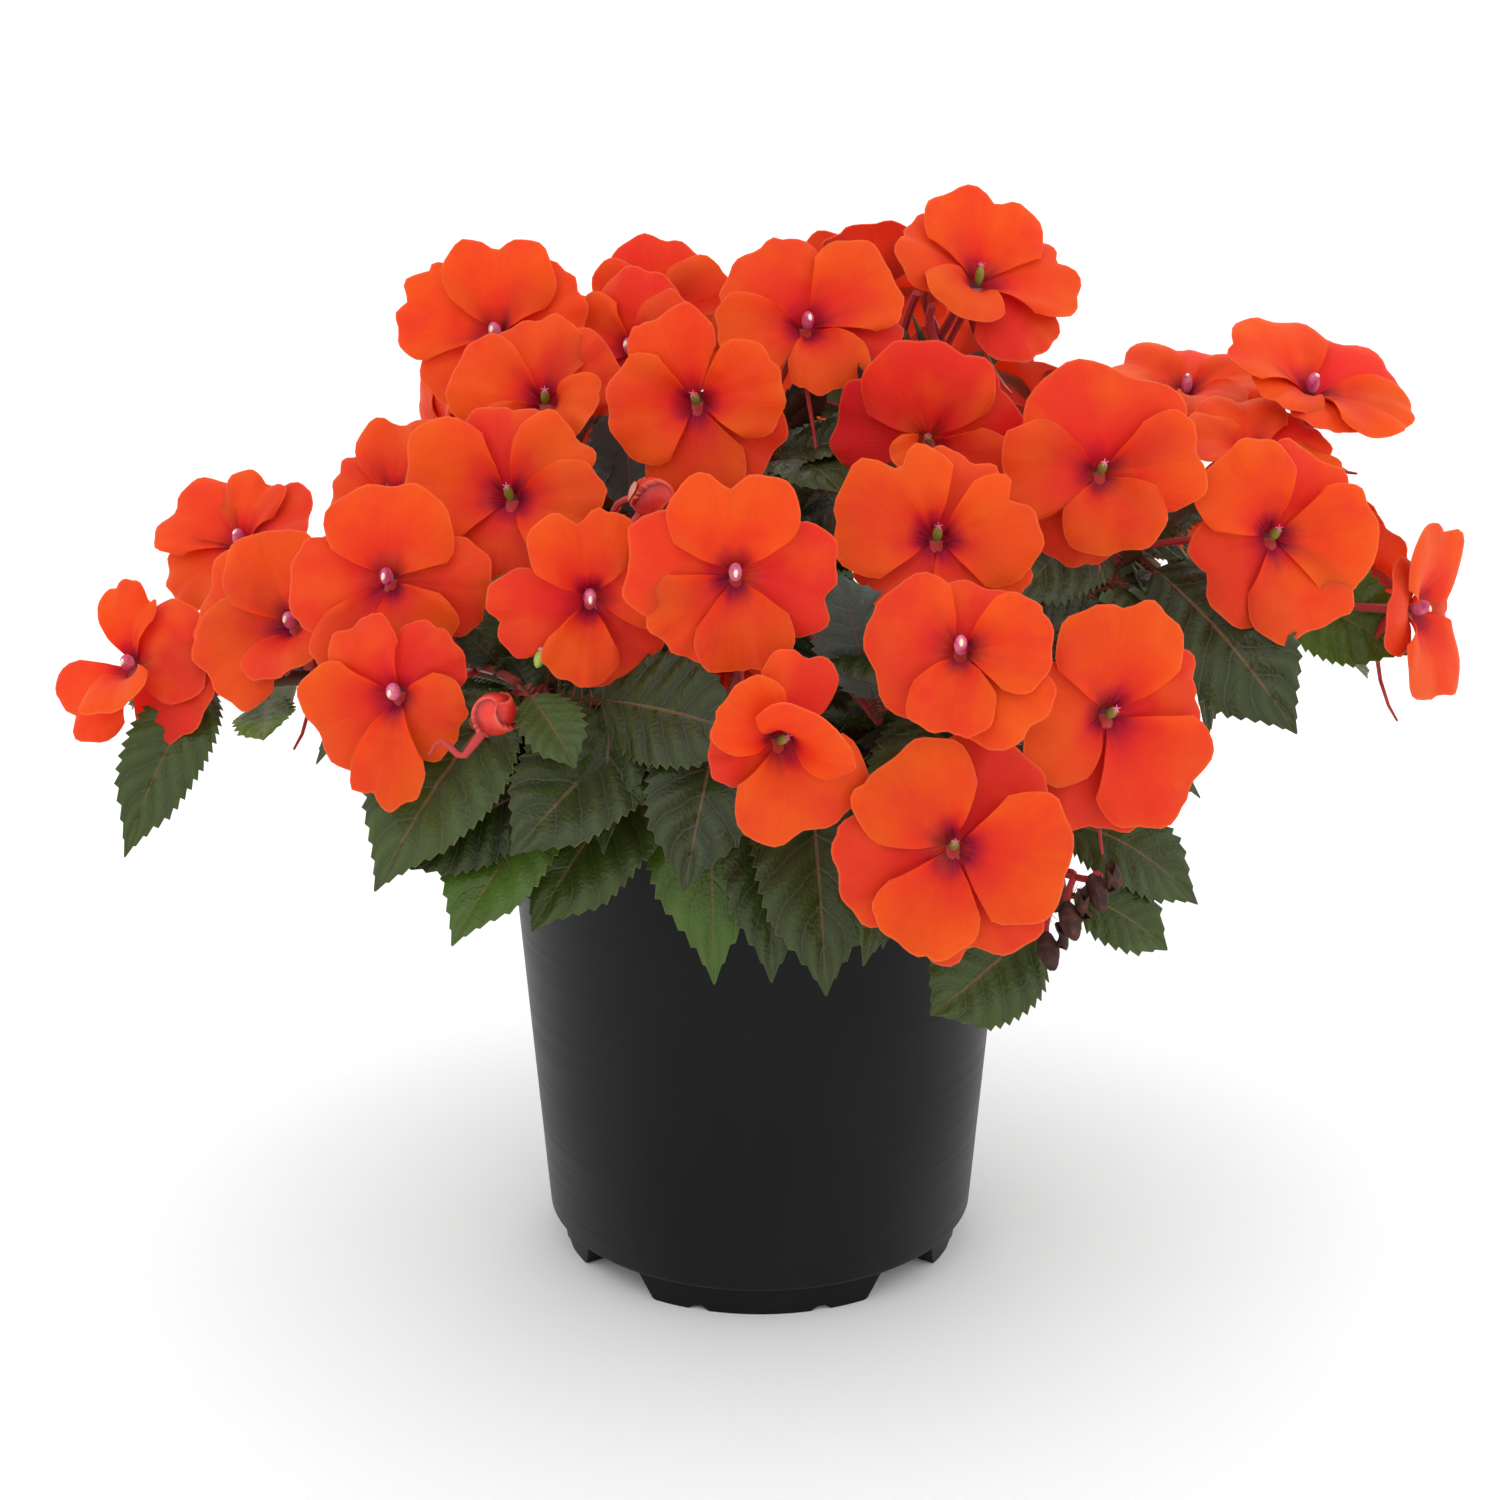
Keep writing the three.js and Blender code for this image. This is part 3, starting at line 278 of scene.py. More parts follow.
# The plant has fourteen shoots. Each is a fleshy stem that stands upright in the mix and bends out, and
# carries leaves on short stalks, flowers on thin red stalks, and buds.
# Each shoot's foot is where it leaves the mix, and bend and tip shape its stem.
# A leaf is (place along the stem or foot of its stalk, tip, arch of the midrib, width of the blade, azimuth,
# or azimuth and elevation, that its face turns to where that isn't straight out, and tone from 0, old and
# dark, to 1, young and fresh, or below 0 where a blue-grey sheen is painted on in place of the sky's
# reflection).
# A flower is (middle, azimuth and elevation that it faces, distance across, cupping of its petals).
# Azimuth 0 faces the viewer and +90 faces +X.
SHOOTS = {
    "left_low": {
        "foot": (-38, -6), "bend": (-84, -14, 190), "tip": (-148, -26, 184),
        "leaves": [
            (0.97, (-176, -70, 147), 10, 21, 10, 0.45), (0.96, (-134, -74, 180), 6, 15, 0, 0.9),
            (0.97, (-194, 12, 166), 12, 28, None, 0.3), (0.85, (-150, 36, 160), 14, 28, None, 0.2),
            (0.75, (-110, -66, 166), 14, 22, None, 0.25), (0.75, (-118, 22, 202), 12, 27, None, 0.35),
            (0.9, (-172, 34, 196), 12, 24, None, 0.45),
        ],
        "blooms": [
            ((-178, -40, 192), -20, 20, 50, 3), ((-129, -52, 207), -18, 18, 60, 3),
            ((-153, -6, 221), -20, 48, 58, 4),
        ],
    },
    "left_front": {
        "foot": (-30, -24), "bend": (-62, -46, 196), "tip": (-86, -58, 196),
        "leaves": [
            ((-49, -66, 205), (-99, -112, 150), 9, 34, (-25, 35), 0.45),
            ((-44, -84, 175), (-94, -108, 155), 3, 25, (-5, 35), 0.1),
            ((-63, -94, 201), (-46, -119, 185), 2, 15, (10, 35), 0.45),
            (0.92, (-118, -84, 176), 10, 22, None, 0.4),
            ((-58, -70, 184), (-80, -78, 212), 2, 11, (-20, 10), 0.1),
            ((-58, -72, 186), (-70, -84, 220), 1, 11, (-5, 10), 0.2),
            ((-56, -72, 184), (-60, -86, 222), 1, 10, (0, 10), 0.05),
            ((-54, -72, 184), (-51, -86, 214), 2, 11, (15, 10), 0.15),
            ((-52, -68, 182), (-42, -82, 208), 2, 12, (20, 10), 0.05),
            ((-58, -72, 182), (-66, -88, 206), 4, 12, (-10, 20), 0.1),
        ],
        "blooms": [
            ((-103, -34, 238), -25, 30, 52, 3), ((-98, -75, 224), -10, 12, 58, 2),
            ((-94, -95, 198), -15, 5, 50, 3),
        ],
        "buds": [((-67, -108, 196), 15, 40)],
    },
    "front_left": {
        "foot": (-14, -32), "bend": (-32, -56, 200), "tip": (-46, -66, 214),
        "leaves": [
            ((-60, -80, 193), (-3, -121, 194), 3, 27, (-15, 25), 0.15),
            ((-10, -74, 200), (-63, -119, 162), 4, 31, (-12, 32), 0.2),
            ((-12, -64, 182), (-59, -112, 139), 9, 31, (-15, 30), 0.4),
            ((-24, -56, 178), (-79, -117, 137), 13, 29, (-30, 40), 0.75),
            (0.7, (-34, -112, 160), 16, 28, None, 0.1), (0.97, (-68, -90, 222), 0, 12, None, 0.4),
            ((-18, -48, 184), (-32, -72, 224), 3, 26, (0, 15), 0.05),
            ((-35, -30, 222), (-38, -41, 267), 2, 20, (-15, 40), -0.7),
        ],
        "blooms": [((-67, -60, 243), -10, 20, 58, 3), ((-43, -100, 224), 5, 0, 54, 2)],
        "buds": [((-28, -76, 246), 60, 5)],
        "capsules": [(-56, -102, 209)],
    },
    "upper_left": {
        "foot": (-20, 2), "bend": (-44, 0, 214), "tip": (-60, 2, 244),
        "leaves": [
            (0.9, (-38, -42, 262), -4, 20, None, 0.3), (0.95, (-112, 28, 224), 10, 27, None, 0.35),
            (0.8, (-84, 52, 220), 14, 27, None, 0.3), (0.85, (-24, 42, 234), 10, 26, None, 0.35),
            (0.65, (-104, -8, 212), 14, 27, None, 0.2), (0.6, (-66, 48, 192), 16, 27, None, 0.2),
        ],
        "blooms": [
            ((-75, -10, 282), -15, 15, 55, 3), ((-59, -38, 266), 5, 20, 54, 2),
            ((-36, -16, 278), -30, 20, 48, 3), ((-95, 20, 248), -60, 10, 50, 3),
            ((-52, 40, 266), -160, 30, 56, 3),
        ],
    },
    "top": {
        "foot": (2, -8), "bend": (-2, -10, 215), "tip": (0, -12, 250),
        "leaves": [
            (0.9, (28, -50, 246), 6, 24, None, 0.25), (0.97, (36, -40, 264), 0, 20, None, 0.3),
            (0.85, (-12, -60, 232), 6, 24, None, 0.2), (0.9, (10, 46, 240), 12, 26, None, 0.35),
            (0.7, (-2, 58, 216), 14, 28, None, 0.3), (0.65, (42, -40, 220), 12, 26, None, 0.15),
            ((2, -36, 186), (14, -66, 216), 4, 28, (0, 20), 0.05),
            ((-6, -34, 188), (-24, -66, 212), 4, 28, (-10, 20), 0.05),
        ],
        "blooms": [
            ((-17, -55, 268), -10, 5, 56, 3), ((13, -28, 286), 10, 25, 56, 3),
            ((-31, 12, 284), -5, 20, 50, 3),
        ],
    },
    "front": {
        "foot": (6, -36), "bend": (14, -62, 196), "tip": (18, -78, 200),
        "leaves": [
            ((-4, -86, 206), (-19, -127, 155), 7, 27, (-8, 25), 0.05),
            ((-16, -62, 172), (-12, -106, 122), 24, 33, (-5, 25), 0.75),
            ((2, -66, 170), (3, -110, 124), 24, 24, (5, 20), 0.3),
            ((10, -70, 188), (17, -119, 124), 14, 31, (5, 25), 0.25),
            ((31, -94, 190), (20, -103, 231), 1, 21, (-8, 36), -0.6),
            (0.95, (36, -112, 202), 8, 20, None, 0.2),
        ],
        "blooms": [
            ((-6, -114, 233), 0, 5, 57, 2), ((5, -131, 195), 22, 0, 44, 4), ((-8, -84, 206), 5, 0, 38, 3),
        ],
    },
    "upper_right": {
        "foot": (18, 10), "bend": (38, 10, 225), "tip": (52, 12, 262),
        "leaves": [
            (0.95, (58, -22, 284), -2, 18, None, 0.3), (0.85, (90, 38, 240), 12, 26, None, 0.35),
            (0.9, (42, 66, 244), 12, 27, None, 0.35), (0.8, (74, -28, 232), 12, 25, None, 0.2),
            (0.65, (98, 4, 222), 14, 27, None, 0.2), (0.7, (34, 62, 218), 14, 26, None, 0.25),
        ],
        "withered": [(30, -38, 270), (38, -34, 262)],
        "spent": [(50, -4, 291), (49, 0, 297), (57, -2, 290), (46, 4, 294)],
        "blooms": [
            ((63, 0, 296), 20, 45, 58, 3), ((36, 32, 292), 170, 40, 52, 3),
            ((46, -43, 256), -5, -5, 54, 3),
        ],
    },
    "front_right": {
        "foot": (28, -26), "bend": (54, -56, 196), "tip": (70, -80, 192),
        "leaves": [
            (0.65, (32, -106, 132), 24, 24, None, 0.4), (0.75, (24, -114, 128), 22, 24, None, 0.4),
            (0.85, (118, -82, 166), 10, 24, None, 0.3),
        ],
        "blooms": [
            ((45, -93, 238), 0, 20, 56, 3), ((49, -122, 216), -5, 25, 54, 3),
            ((88, -110, 196), 15, 5, 62, 3), ((48, -128, 167), 0, 5, 61, 3),
        ],
    },
    "low_right": {
        "foot": (41, -25), "bend": (74, -76, 194), "tip": (80, -94, 138),
        "leaves": [
            (0.97, (44, -117, 118), -2, 27, 10, 0.45), (0.95, (108, -99, 129), 3, 18, 10, 0.5),
            (0.75, (117, -91, 139), 6, 22, 20, 0.4),
        ],
        "blooms": [],
        "pods": [(87, -110, 149), (80, -112, 142), (75, -110, 133)],
    },
    "right_front": {
        "foot": (38, -8), "bend": (78, -20, 206), "tip": (108, -30, 224),
        "leaves": [
            (0.97, (147, -81, 189), 10, 32, -10, 0.2), (0.92, (68, -72, 216), 10, 24, None, 0.2),
            (0.85, (121, -76, 176), 12, 26, None, 0.35), (0.85, (126, 18, 208), 14, 26, None, 0.3),
        ],
        "blooms": [
            ((91, -60, 250), 5, 10, 60, 3), ((140, -52, 231), 10, 10, 57, 3),
            ((88, 38, 254), 140, 50, 52, 3),
        ],
    },
    "right_low": {
        "foot": (38, 12), "bend": (92, 8, 200), "tip": (150, 4, 208),
        "leaves": [
            (0.97, (190, -20, 192), 8, 28, 0, 0.85), (0.9, (196, 44, 168), 8, 28, None, 0.35),
            (0.85, (150, 60, 176), 14, 28, None, 0.3), (0.75, (128, -40, 170), 16, 26, None, 0.15),
            (0.65, (122, 50, 188), 14, 27, None, 0.2),
        ],
        "blooms": [
            ((162, 4, 265), 20, 58, 56, 4), ((130, 30, 262), -10, 66, 48, 4),
            ((142, -14, 248), 10, 58, 48, 3), ((190, -20, 204), 50, 5, 54, 3),
            ((180, 28, 210), 120, 20, 52, 3),
        ],
    },
    "back_left": {
        "foot": (-26, 28), "bend": (-62, 60, 200), "tip": (-98, 82, 204),
        "leaves": [
            (0.97, (-152, 86, 166), 12, 29, None, 0.4), (0.9, (-114, 130, 150), 14, 29, None, 0.3),
            (0.75, (-66, 124, 156), 18, 28, None, 0.3), (0.65, (-100, 42, 170), 14, 26, None, 0.2),
            (0.85, (-142, 60, 190), 12, 26, None, 0.5), (0.9, (-82, 120, 180), 10, 26, None, 0.5),
        ],
        "blooms": [
            ((-106, 66, 228), -130, 30, 54, 3), ((-70, 88, 250), -160, 35, 58, 3),
            ((-96, 118, 204), -165, 10, 58, 3),
        ],
    },
    "back": {
        "foot": (0, 36), "bend": (0, 70, 204), "tip": (2, 96, 218),
        "leaves": [
            (0.97, (-22, 136, 172), 12, 28, None, 0.5), (0.8, (26, 130, 148), 18, 29, None, 0.35),
            (0.65, (-14, 122, 130), 26, 28, None, 0.3), (0.9, (54, 112, 184), 10, 26, None, 0.4),
            (0.8, (-46, 106, 188), 12, 27, None, 0.4),
        ],
        "blooms": [
            ((0, 72, 272), 180, 45, 58, 3), ((-38, 116, 228), -170, 15, 56, 3),
            ((36, 120, 234), 170, 15, 58, 3), ((2, 138, 186), 180, 5, 56, 3),
        ],
    },
    "back_right": {
        "foot": (28, 28), "bend": (64, 58, 202), "tip": (94, 80, 206),
        "leaves": [
            (0.97, (144, 98, 166), 12, 29, None, 0.4), (0.9, (108, 128, 148), 14, 29, None, 0.35),
            (0.75, (66, 126, 152), 18, 28, None, 0.3), (0.7, (130, 40, 168), 14, 26, None, 0.2),
            (0.85, (138, 66, 186), 12, 26, None, 0.5), (0.9, (86, 120, 180), 10, 26, None, 0.45),
        ],
        "blooms": [
            ((64, 82, 262), 160, 35, 56, 3), ((126, 66, 226), 125, 30, 56, 3),
            ((92, 118, 208), 165, 10, 58, 3),
        ],
    },
}
UP = Vector((0, 0, 1))
# Heights of a stem's foot in the mix, of a point on its straight part and of the start of its bend
STEM_FOOT = 118
STEM_STRAIGHT = 136
STEM_FREE = 152
STEM_STEPS = 24
STEM_RADIUS = 4
STEM_TIP_RADIUS = 2.2
# A stem swells a little where its leaves stand close together
KNOTS = (0.9, 0.97)
KNOT_SWELL = 0.12
LEAF_STALK_RADIUS = 1.3
# A flower's stalk is this thick at both ends, and thins by this much midway
STALK_RADIUS = 1.35
STALK_WAIST = 0.3
STALK_STEPS = 14
# How deep a stalk starts in its stem, and how far behind a flower it ends
ROOT_INSET = 1.2
STALK_SEAT = 8.2
# Ways that a stalk may bow aside, of which the nearest to its solid is taken
STALK_BOWS = [Vector((0, 0, 0))] + [
    Vector((reach * math.cos(turn * math.pi / 3), reach * math.sin(turn * math.pi / 3), 0))
    for reach in (10, 20, 30) for turn in range(6)
]


def vary(number, turn):
    """A steady small variation between -1 and 1, so that no two leaves or flowers are alike."""
    return math.sin(number * 2.399 + turn * 1.7)


def level_way(azimuth):
    return Vector((math.sin(math.radians(azimuth)), -math.cos(math.radians(azimuth)), 0))


def quadratic(start, middle, end, at):
    return start * (1 - at) ** 2 + middle * (2 * at * (1 - at)) + end * at ** 2


def cubic(start, first, second, end, at):
    rest = 1 - at
    return start * rest ** 3 + first * (3 * at * rest ** 2) + second * (3 * at ** 2 * rest) + end * at ** 3


def stem_point(shoot, share):
    start = Vector((*shoot["foot"], STEM_FREE))
    return quadratic(start, Vector(shoot["bend"]), Vector(shoot["tip"]), share)


def root_point(shoot, share, towards):
    axis = stem_point(shoot, share)
    return axis + (towards - axis).normalized() * ROOT_INSET


def facing_way(azimuth, elevation):
    return level_way(azimuth) * math.cos(math.radians(elevation)) + UP * math.sin(math.radians(elevation))


def solid_points(node):
    """The corners of a solid, in millimetres, to look up the nearest one."""
    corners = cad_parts[node].data.vertices
    tree = KDTree(len(corners))
    for corner in corners:
        tree.insert(corner.co * 1000, corner.index)
    tree.balance()
    return tree


def new_shape():
    bm = bmesh.new()
    bm.loops.layers.uv.new("UVMap")
    bm.verts.layers.float.new("tone")
    bm.verts.layers.float.new("blush")
    return bm


def gather(bm, part):
    """Adds a finished part to the shape that it belongs to."""
    mesh = bpy.data.meshes.new("part")
    part.to_mesh(mesh)
    part.free()
    bm.from_mesh(mesh)
    bpy.data.meshes.remove(mesh)


def add_limb(bm, path, radii, sides, blush, material=0):
    """A round limb: a strip of faces rolled round the path and sewn up along its seam and over its ends."""
    steps = len(path) - 1
    strip = bmesh.ops.create_grid(bm, x_segments=steps, y_segments=sides, size=1, calc_uvs=True)["verts"]
    ahead = (path[1] - path[0]).normalized()
    side = ahead.orthogonal().normalized()
    rings = []
    for step, point in enumerate(path):
        along = (path[min(step + 1, steps)] - path[max(step - 1, 0)]).normalized()
        side.rotate(ahead.rotation_difference(along))
        ahead = along
        rings.append((point, side.copy(), along.cross(side)))
    blush_layer = bm.verts.layers.float["blush"]
    for vert in strip:
        step = round((vert.co.x + 1) / 2 * steps)
        angle = math.pi * vert.co.y
        point, across, over = rings[step]
        vert.co = point + (across * math.cos(angle) + over * math.sin(angle)) * radii[step]
        vert[blush_layer] = blush
    paint(strip, material)
    bmesh.ops.remove_doubles(bm, verts=strip, dist=1e-4)
    strip = [vert for vert in strip if vert.is_valid]
    open_edges = list({edge for vert in strip for edge in vert.link_edges if edge.is_boundary})
    caps = bmesh.ops.holes_fill(bm, edges=open_edges, sides=sides)["faces"]
    for face in caps:
        face.material_index = material


def stalk_path(start, end, facing, bow, steps):
    reach = (end - start).length
    behind = end - facing * (0.45 * reach)
    rise = start + UP * (0.08 * reach + 0.3 * max(end.z - start.z, 0)) + bow
    return [cubic(start, rise, behind, end, step / steps) for step in range(steps + 1)]


def own_stalk(tree, start, end, facing, steps):
    """The path of a flower's stalk, with the bow that its solid has."""
    def misfit(bow):
        return sum(abs(tree.find(point)[2] - 1) for point in stalk_path(start, end, facing, bow, 3)[1:3])
    return stalk_path(start, end, facing, min(STALK_BOWS, key=misfit), steps)


# Stem and stalk skin: smooth, moist and fleshy, from olive green to a translucent red brown on the stalks.
stem_skin = new_material(
    "fleshy stem skin", Roughness=0.45, IOR=1.4, Specular_IOR_Level=0.25, Subsurface_Weight=0.15,
    Subsurface_Radius=(0.002, 0.0008, 0.0005), Subsurface_Scale=1.0)
blush_value = add_node(stem_skin, "Attribute", {"attribute_name": "blush"}).outputs["Fac"]
place = add_node(stem_skin, "TexCoord").outputs["Object"]
speckles = add_node(stem_skin, "TexNoise", {"Scale": 160.0, "Detail": 4.0}, {"Vector": place})
flushed = add_node(stem_skin, "Math", {"operation": "MULTIPLY_ADD", 1: 0.35}, {0: speckles, 2: blush_value})
stem_colour = add_node(
    stem_skin, "ValToRGB", {"stops": [(0.1, "#3E4A22"), (0.5, "#542B1E"), (1.0, "#BC4242")]},
    {"Fac": flushed})
stem_relief = add_node(stem_skin, "Bump", {"Strength": 0.3, "Distance": 0.0003}, {"Height": speckles})
connect(stem_skin, Base_Color=stem_colour, Normal=stem_relief)

for shoot_name, shoot in SHOOTS.items():
    shoot["tree"] = solid_points("shoot_" + shoot_name)
    bm = new_shape()
    stem = [Vector((*shoot["foot"], STEM_FOOT)), Vector((*shoot["foot"], STEM_STRAIGHT))]
    radii = [STEM_RADIUS, STEM_RADIUS]
    bend = [stem_point(shoot, step / STEM_STEPS) for step in range(STEM_STEPS + 1)]
    for step, point in enumerate(bend):
        share = step / STEM_STEPS
        knot = sum(math.exp(-((share - leaf[0]) / 0.02) ** 2) for leaf in shoot["leaves"] if leaf[0] in KNOTS)
        stem.append(point)
        radius = STEM_RADIUS + (STEM_TIP_RADIUS - STEM_RADIUS) * share
        radii.append(radius * (1 + KNOT_SWELL * min(knot, 1)))
    add_limb(bm, stem, radii, 12, 0.25)
    for leaf in shoot["leaves"]:
        if isinstance(leaf[0], tuple):
            foot = Vector(leaf[0])
            start = min(bend, key=lambda point: (point - foot).length)
            path = [quadratic(start, (start + foot) / 2 + UP * 3, foot, step / 6) for step in range(7)]
            add_limb(bm, path, [LEAF_STALK_RADIUS] * len(path), 7, 0.5)
    for rank, (middle, azimuth, elevation, *_) in enumerate(shoot["blooms"]):
        facing = facing_way(azimuth, elevation)
        end = Vector(middle) - facing * STALK_SEAT
        start = root_point(shoot, 0.97 - 0.05 * rank, end)
        path = own_stalk(shoot["tree"], start, end, facing, STALK_STEPS)
        radii = [
            STALK_RADIUS - STALK_WAIST * math.sin(math.pi * step / STALK_STEPS) for step in range(len(path))]
        add_limb(bm, path, radii, 7, 0.92)
    finish_piece("stems_" + shoot_name, bm, [stem_skin], ["shoot_" + shoot_name])


# The leaves are lance-shaped and drawn out to a point, 35 to 85 mm long on short fleshy stalks.
# Their edges have sharp teeth about 3 mm apart, and the blade bulges a little between its sunken veins.
# How many of its widths long a blade is, and the same for the broader leaves in front
BLADE_LENGTHS = 2.25
BROAD_BLADE_LENGTHS = 1.75
# How steeply the halves of a blade rise from its midrib, and how far its face turns up
LEAF_FOLD = 0.16
FACE_UP = 0.6
# The side veins of each half, and how far they sweep on towards the tip
VEINS = 7
VEIN_SWEEP = 1.5
TOOTH_PITCH = 2.7
TOOTH_DEPTH = 1.5
BLADE_FULLNESS = 1.1
BLADE_THICKNESS = 0.35
RIB_RADIUS = 1.35
RIB_STEPS = 16
# A leaf narrower than this has a slimmer stalk
FULL_WIDTH = 22
BRISTLES = 6
BRISTLE_RADII = (0.16, 0.06)
# Small moves of a leaf's tip, of which the nearest to its solid is taken
LEAF_MOVES = sorted(
    ((out, lift, swing) for out in (0, 4, -4, 8, -8, 12) for lift in (0, 3, -3, 6, -6, 9)
     for swing in (0, 5, -5, 10, -10)),
    key=lambda move: abs(move[0]) + abs(move[1]) + 1.5 * abs(move[2]))


class Rib:
    """The arched midrib of a leaf, and the way that its blade faces along it."""

    def __init__(self, base, tip, arch, width, azimuth, move=(0, 0, 0)):
        out, lift, swing = move
        blade_lengths = BLADE_LENGTHS
        if isinstance(azimuth, tuple):
            facing = facing_way(*azimuth)
            blade_lengths = BROAD_BLADE_LENGTHS
        else:
            level = Vector((tip.x, tip.y, 0)).normalized() if azimuth is None else level_way(azimuth)
            facing = (level + UP * FACE_UP).normalized()
        self.side = facing.cross(tip - base).normalized()
        self.base = base
        self.tip = tip + facing * out + self.side * swing
        self.middle = (self.base + self.tip) / 2 + UP * (arch + lift) * 2
        marks = [quadratic(self.base, self.middle, self.tip, step / 20) for step in range(21)]
        self.length = sum((end - start).length for start, end in zip(marks, marks[1:]))
        self.stalk = max(0.12, 1 - blade_lengths * width / self.length)

    def at(self, along):
        """The point and the blade's upward normal at a share of the midrib."""
        ahead = (self.middle - self.base) * (1 - along) + (self.tip - self.middle) * along
        normal = ahead.normalized().cross(self.side).normalized()
        return quadratic(self.base, self.middle, self.tip, along), normal

    def marks(self):
        """Corners that the leaf's solid has: its tip, both sides of its neck and a point of its midrib."""
        tip, over = self.at(1)
        neck, _ = self.at(self.stalk)
        rib, rib_over = self.at(self.stalk + (1 - self.stalk) * 0.45)
        aside = self.side * 1.3
        return [tip, tip - over * 0.8, neck + aside, neck - aside, rib, rib - rib_over * 0.8]


def blade_half(along):
    """Half width of a blade, as a share of its greatest half width: an oval drawn out to a fine tip."""
    if not 0 < along < 1:
        return 0
    fullness = 0.75 if along < 0.455 else 0.52
    return math.sin(math.pi * along ** 0.88) ** fullness * (1 - 0.8 * max(0, (along - 0.76) / 0.24) ** 1.2)


def thicken(bm, faces, thickness, under):
    """Thickens a sheet. Its underside takes the material of that number, and its edge keeps the sheet's."""
    bm.normal_update()
    for part in bmesh.ops.solidify(bm, geom=faces, thickness=thickness)["geom"]:
        if isinstance(part, bmesh.types.BMFace):
            part.material_index = under


def add_leaf(shoot_bm, rib, width, number, tone, blush):
    bm = new_shape()
    blade_length = rib.length * (1 - rib.stalk)
    rows = 2 * max(8, round(blade_length / TOOTH_PITCH))
    sheet = bmesh.ops.create_grid(bm, x_segments=12, y_segments=rows, size=1, calc_uvs=True)["verts"]
    fold = LEAF_FOLD * (1 + 0.35 * vary(number, 3))
    tone_layer = bm.verts.layers.float["tone"]
    blush_layer = bm.verts.layers.float["blush"]
    for vert in sheet:
        across = vert.co.x
        row = round((vert.co.y + 1) / 2 * rows)
        edge = abs(across) ** 6
        along = row / rows + (0.85 / rows) * edge * (row % 2)
        half = max(blade_half(along) * BLADE_FULLNESS * width / 2, 0.7 * (1 - along))
        tooth = TOOTH_DEPTH * edge * (row % 2 - 0.5) * min(1, half / 6)
        reach = abs(across) * half + tooth
        sign = math.copysign(1, across)
        phase = along * VEINS - abs(across) * VEIN_SWEEP
        quilt = math.sin(math.pi * phase) ** 2 * abs(across) * (1 - abs(across)) * 4
        roll = -1.1 * abs(across) ** 3 * (0.6 + 0.4 * vary(number, 5))
        ripple = math.sin(9 * along + sign + number) * across ** 2
        point, over = rib.at(min(rib.stalk + (1 - rib.stalk) * along, 1))
        lift = reach * fold + half / 14 * (1.7 * quilt + roll + 1.3 * ripple)
        vert.co = point - rib.side * sign * reach + over * lift
        vert[tone_layer] = tone
        vert[blush_layer] = blush
    # The rows meet in one point at the tip
    bmesh.ops.remove_doubles(bm, verts=sheet, dist=1e-4)
    thicken(bm, bm.faces[:], BLADE_THICKNESS, 1)
    # The leaf stalk runs on under the blade as its midrib
    slimness = min(1, width / FULL_WIDTH)
    path = []
    radii = []
    for step in range(RIB_STEPS + 1):
        along = 0.97 * step / RIB_STEPS
        point, over = rib.at(along)
        bladed = max(0, (along - rib.stalk) / (1 - rib.stalk))
        radius = (RIB_RADIUS if along < rib.stalk else 1.15 - bladed) * slimness
        path.append(point - over * radius * 0.9)
        radii.append(radius)
    add_limb(bm, path, radii, 6, 0.45 + 0.3 * vary(number, 2), 2)
    # Soft bristles stand along both sides of the stalk and the foot of the blade
    for bristle in range(BRISTLES):
        along = rib.stalk * (0.45 + 0.85 * bristle / BRISTLES)
        point, over = rib.at(along)
        for side in (-1, 1):
            way = (rib.side * side + over * (0.5 + 0.4 * vary(number, bristle + side))).normalized()
            reach = 1.2 + (2 + 0.6 * vary(bristle, number)) * slimness
            add_limb(bm, [point + way * 0.6, point + way * reach], BRISTLE_RADII, 3, 0.7, 2)
    gather(shoot_bm, bm)


# A leaf's upper face: waxy dark green with a cool grey sheen where it turns to the light.
# The midrib is tan to pink, and the sunken veins catch a thin lighter line.
leaf_face = new_material(
    "waxy leaf face", Roughness=0.38, IOR=1.42, Coat_Weight=0.06, Coat_Roughness=0.35,
    Specular_IOR_Level=0.42)
# A leaf's underside: paler and duller, flushed with red along the ribs.
leaf_back = new_material("pale leaf underside", Roughness=0.6, IOR=1.4)


def vein_lines(material):
    """Masks from the blade's own UV map: how far from a side vein it is, the side veins, the midrib, and how
    far from the midrib it is."""
    uv = add_node(material, "UVMap", {"uv_map": "UVMap"})
    split = add_node(material, "SeparateXYZ", None, {0: uv})
    centred = add_node(material, "Math", {"operation": "SUBTRACT", 1: 0.5}, {0: split.outputs["X"]})
    half = add_node(material, "Math", {"operation": "ABSOLUTE"}, {0: centred})
    swept = add_node(material, "Math", {"operation": "MULTIPLY", 1: -2 * VEIN_SWEEP}, {0: half})
    phase = add_node(material, "Math", {"operation": "MULTIPLY_ADD", 1: float(VEINS)},
                     {0: split.outputs["Y"], 2: swept})
    wander = add_node(material, "TexNoise", {"Scale": 9.0, "Detail": 2.0}, {"Vector": uv})
    bent = add_node(material, "Math", {"operation": "MULTIPLY_ADD", 1: 0.22}, {0: wander, 2: phase})
    near = add_node(material, "Math", {"operation": "PINGPONG", 1: 0.5}, {0: bent})
    soft = {"interpolation_type": "SMOOTHSTEP"}
    veins = add_node(material, "MapRange", {**soft, "From Min": 0.07, "From Max": 0.0}, {"Value": near})
    rib = add_node(material, "MapRange", {**soft, "From Min": 0.022, "From Max": 0.006}, {"Value": half})
    paling = add_node(material, "MapRange", {"From Min": 0.1, "From Max": 0.9, "To Min": 1.0, "To Max": 0.25},
                      {"Value": split.outputs["Y"]})
    rib_here = add_node(material, "Math", {"operation": "MULTIPLY"}, {0: rib, 1: paling})
    return near, veins, rib_here, half


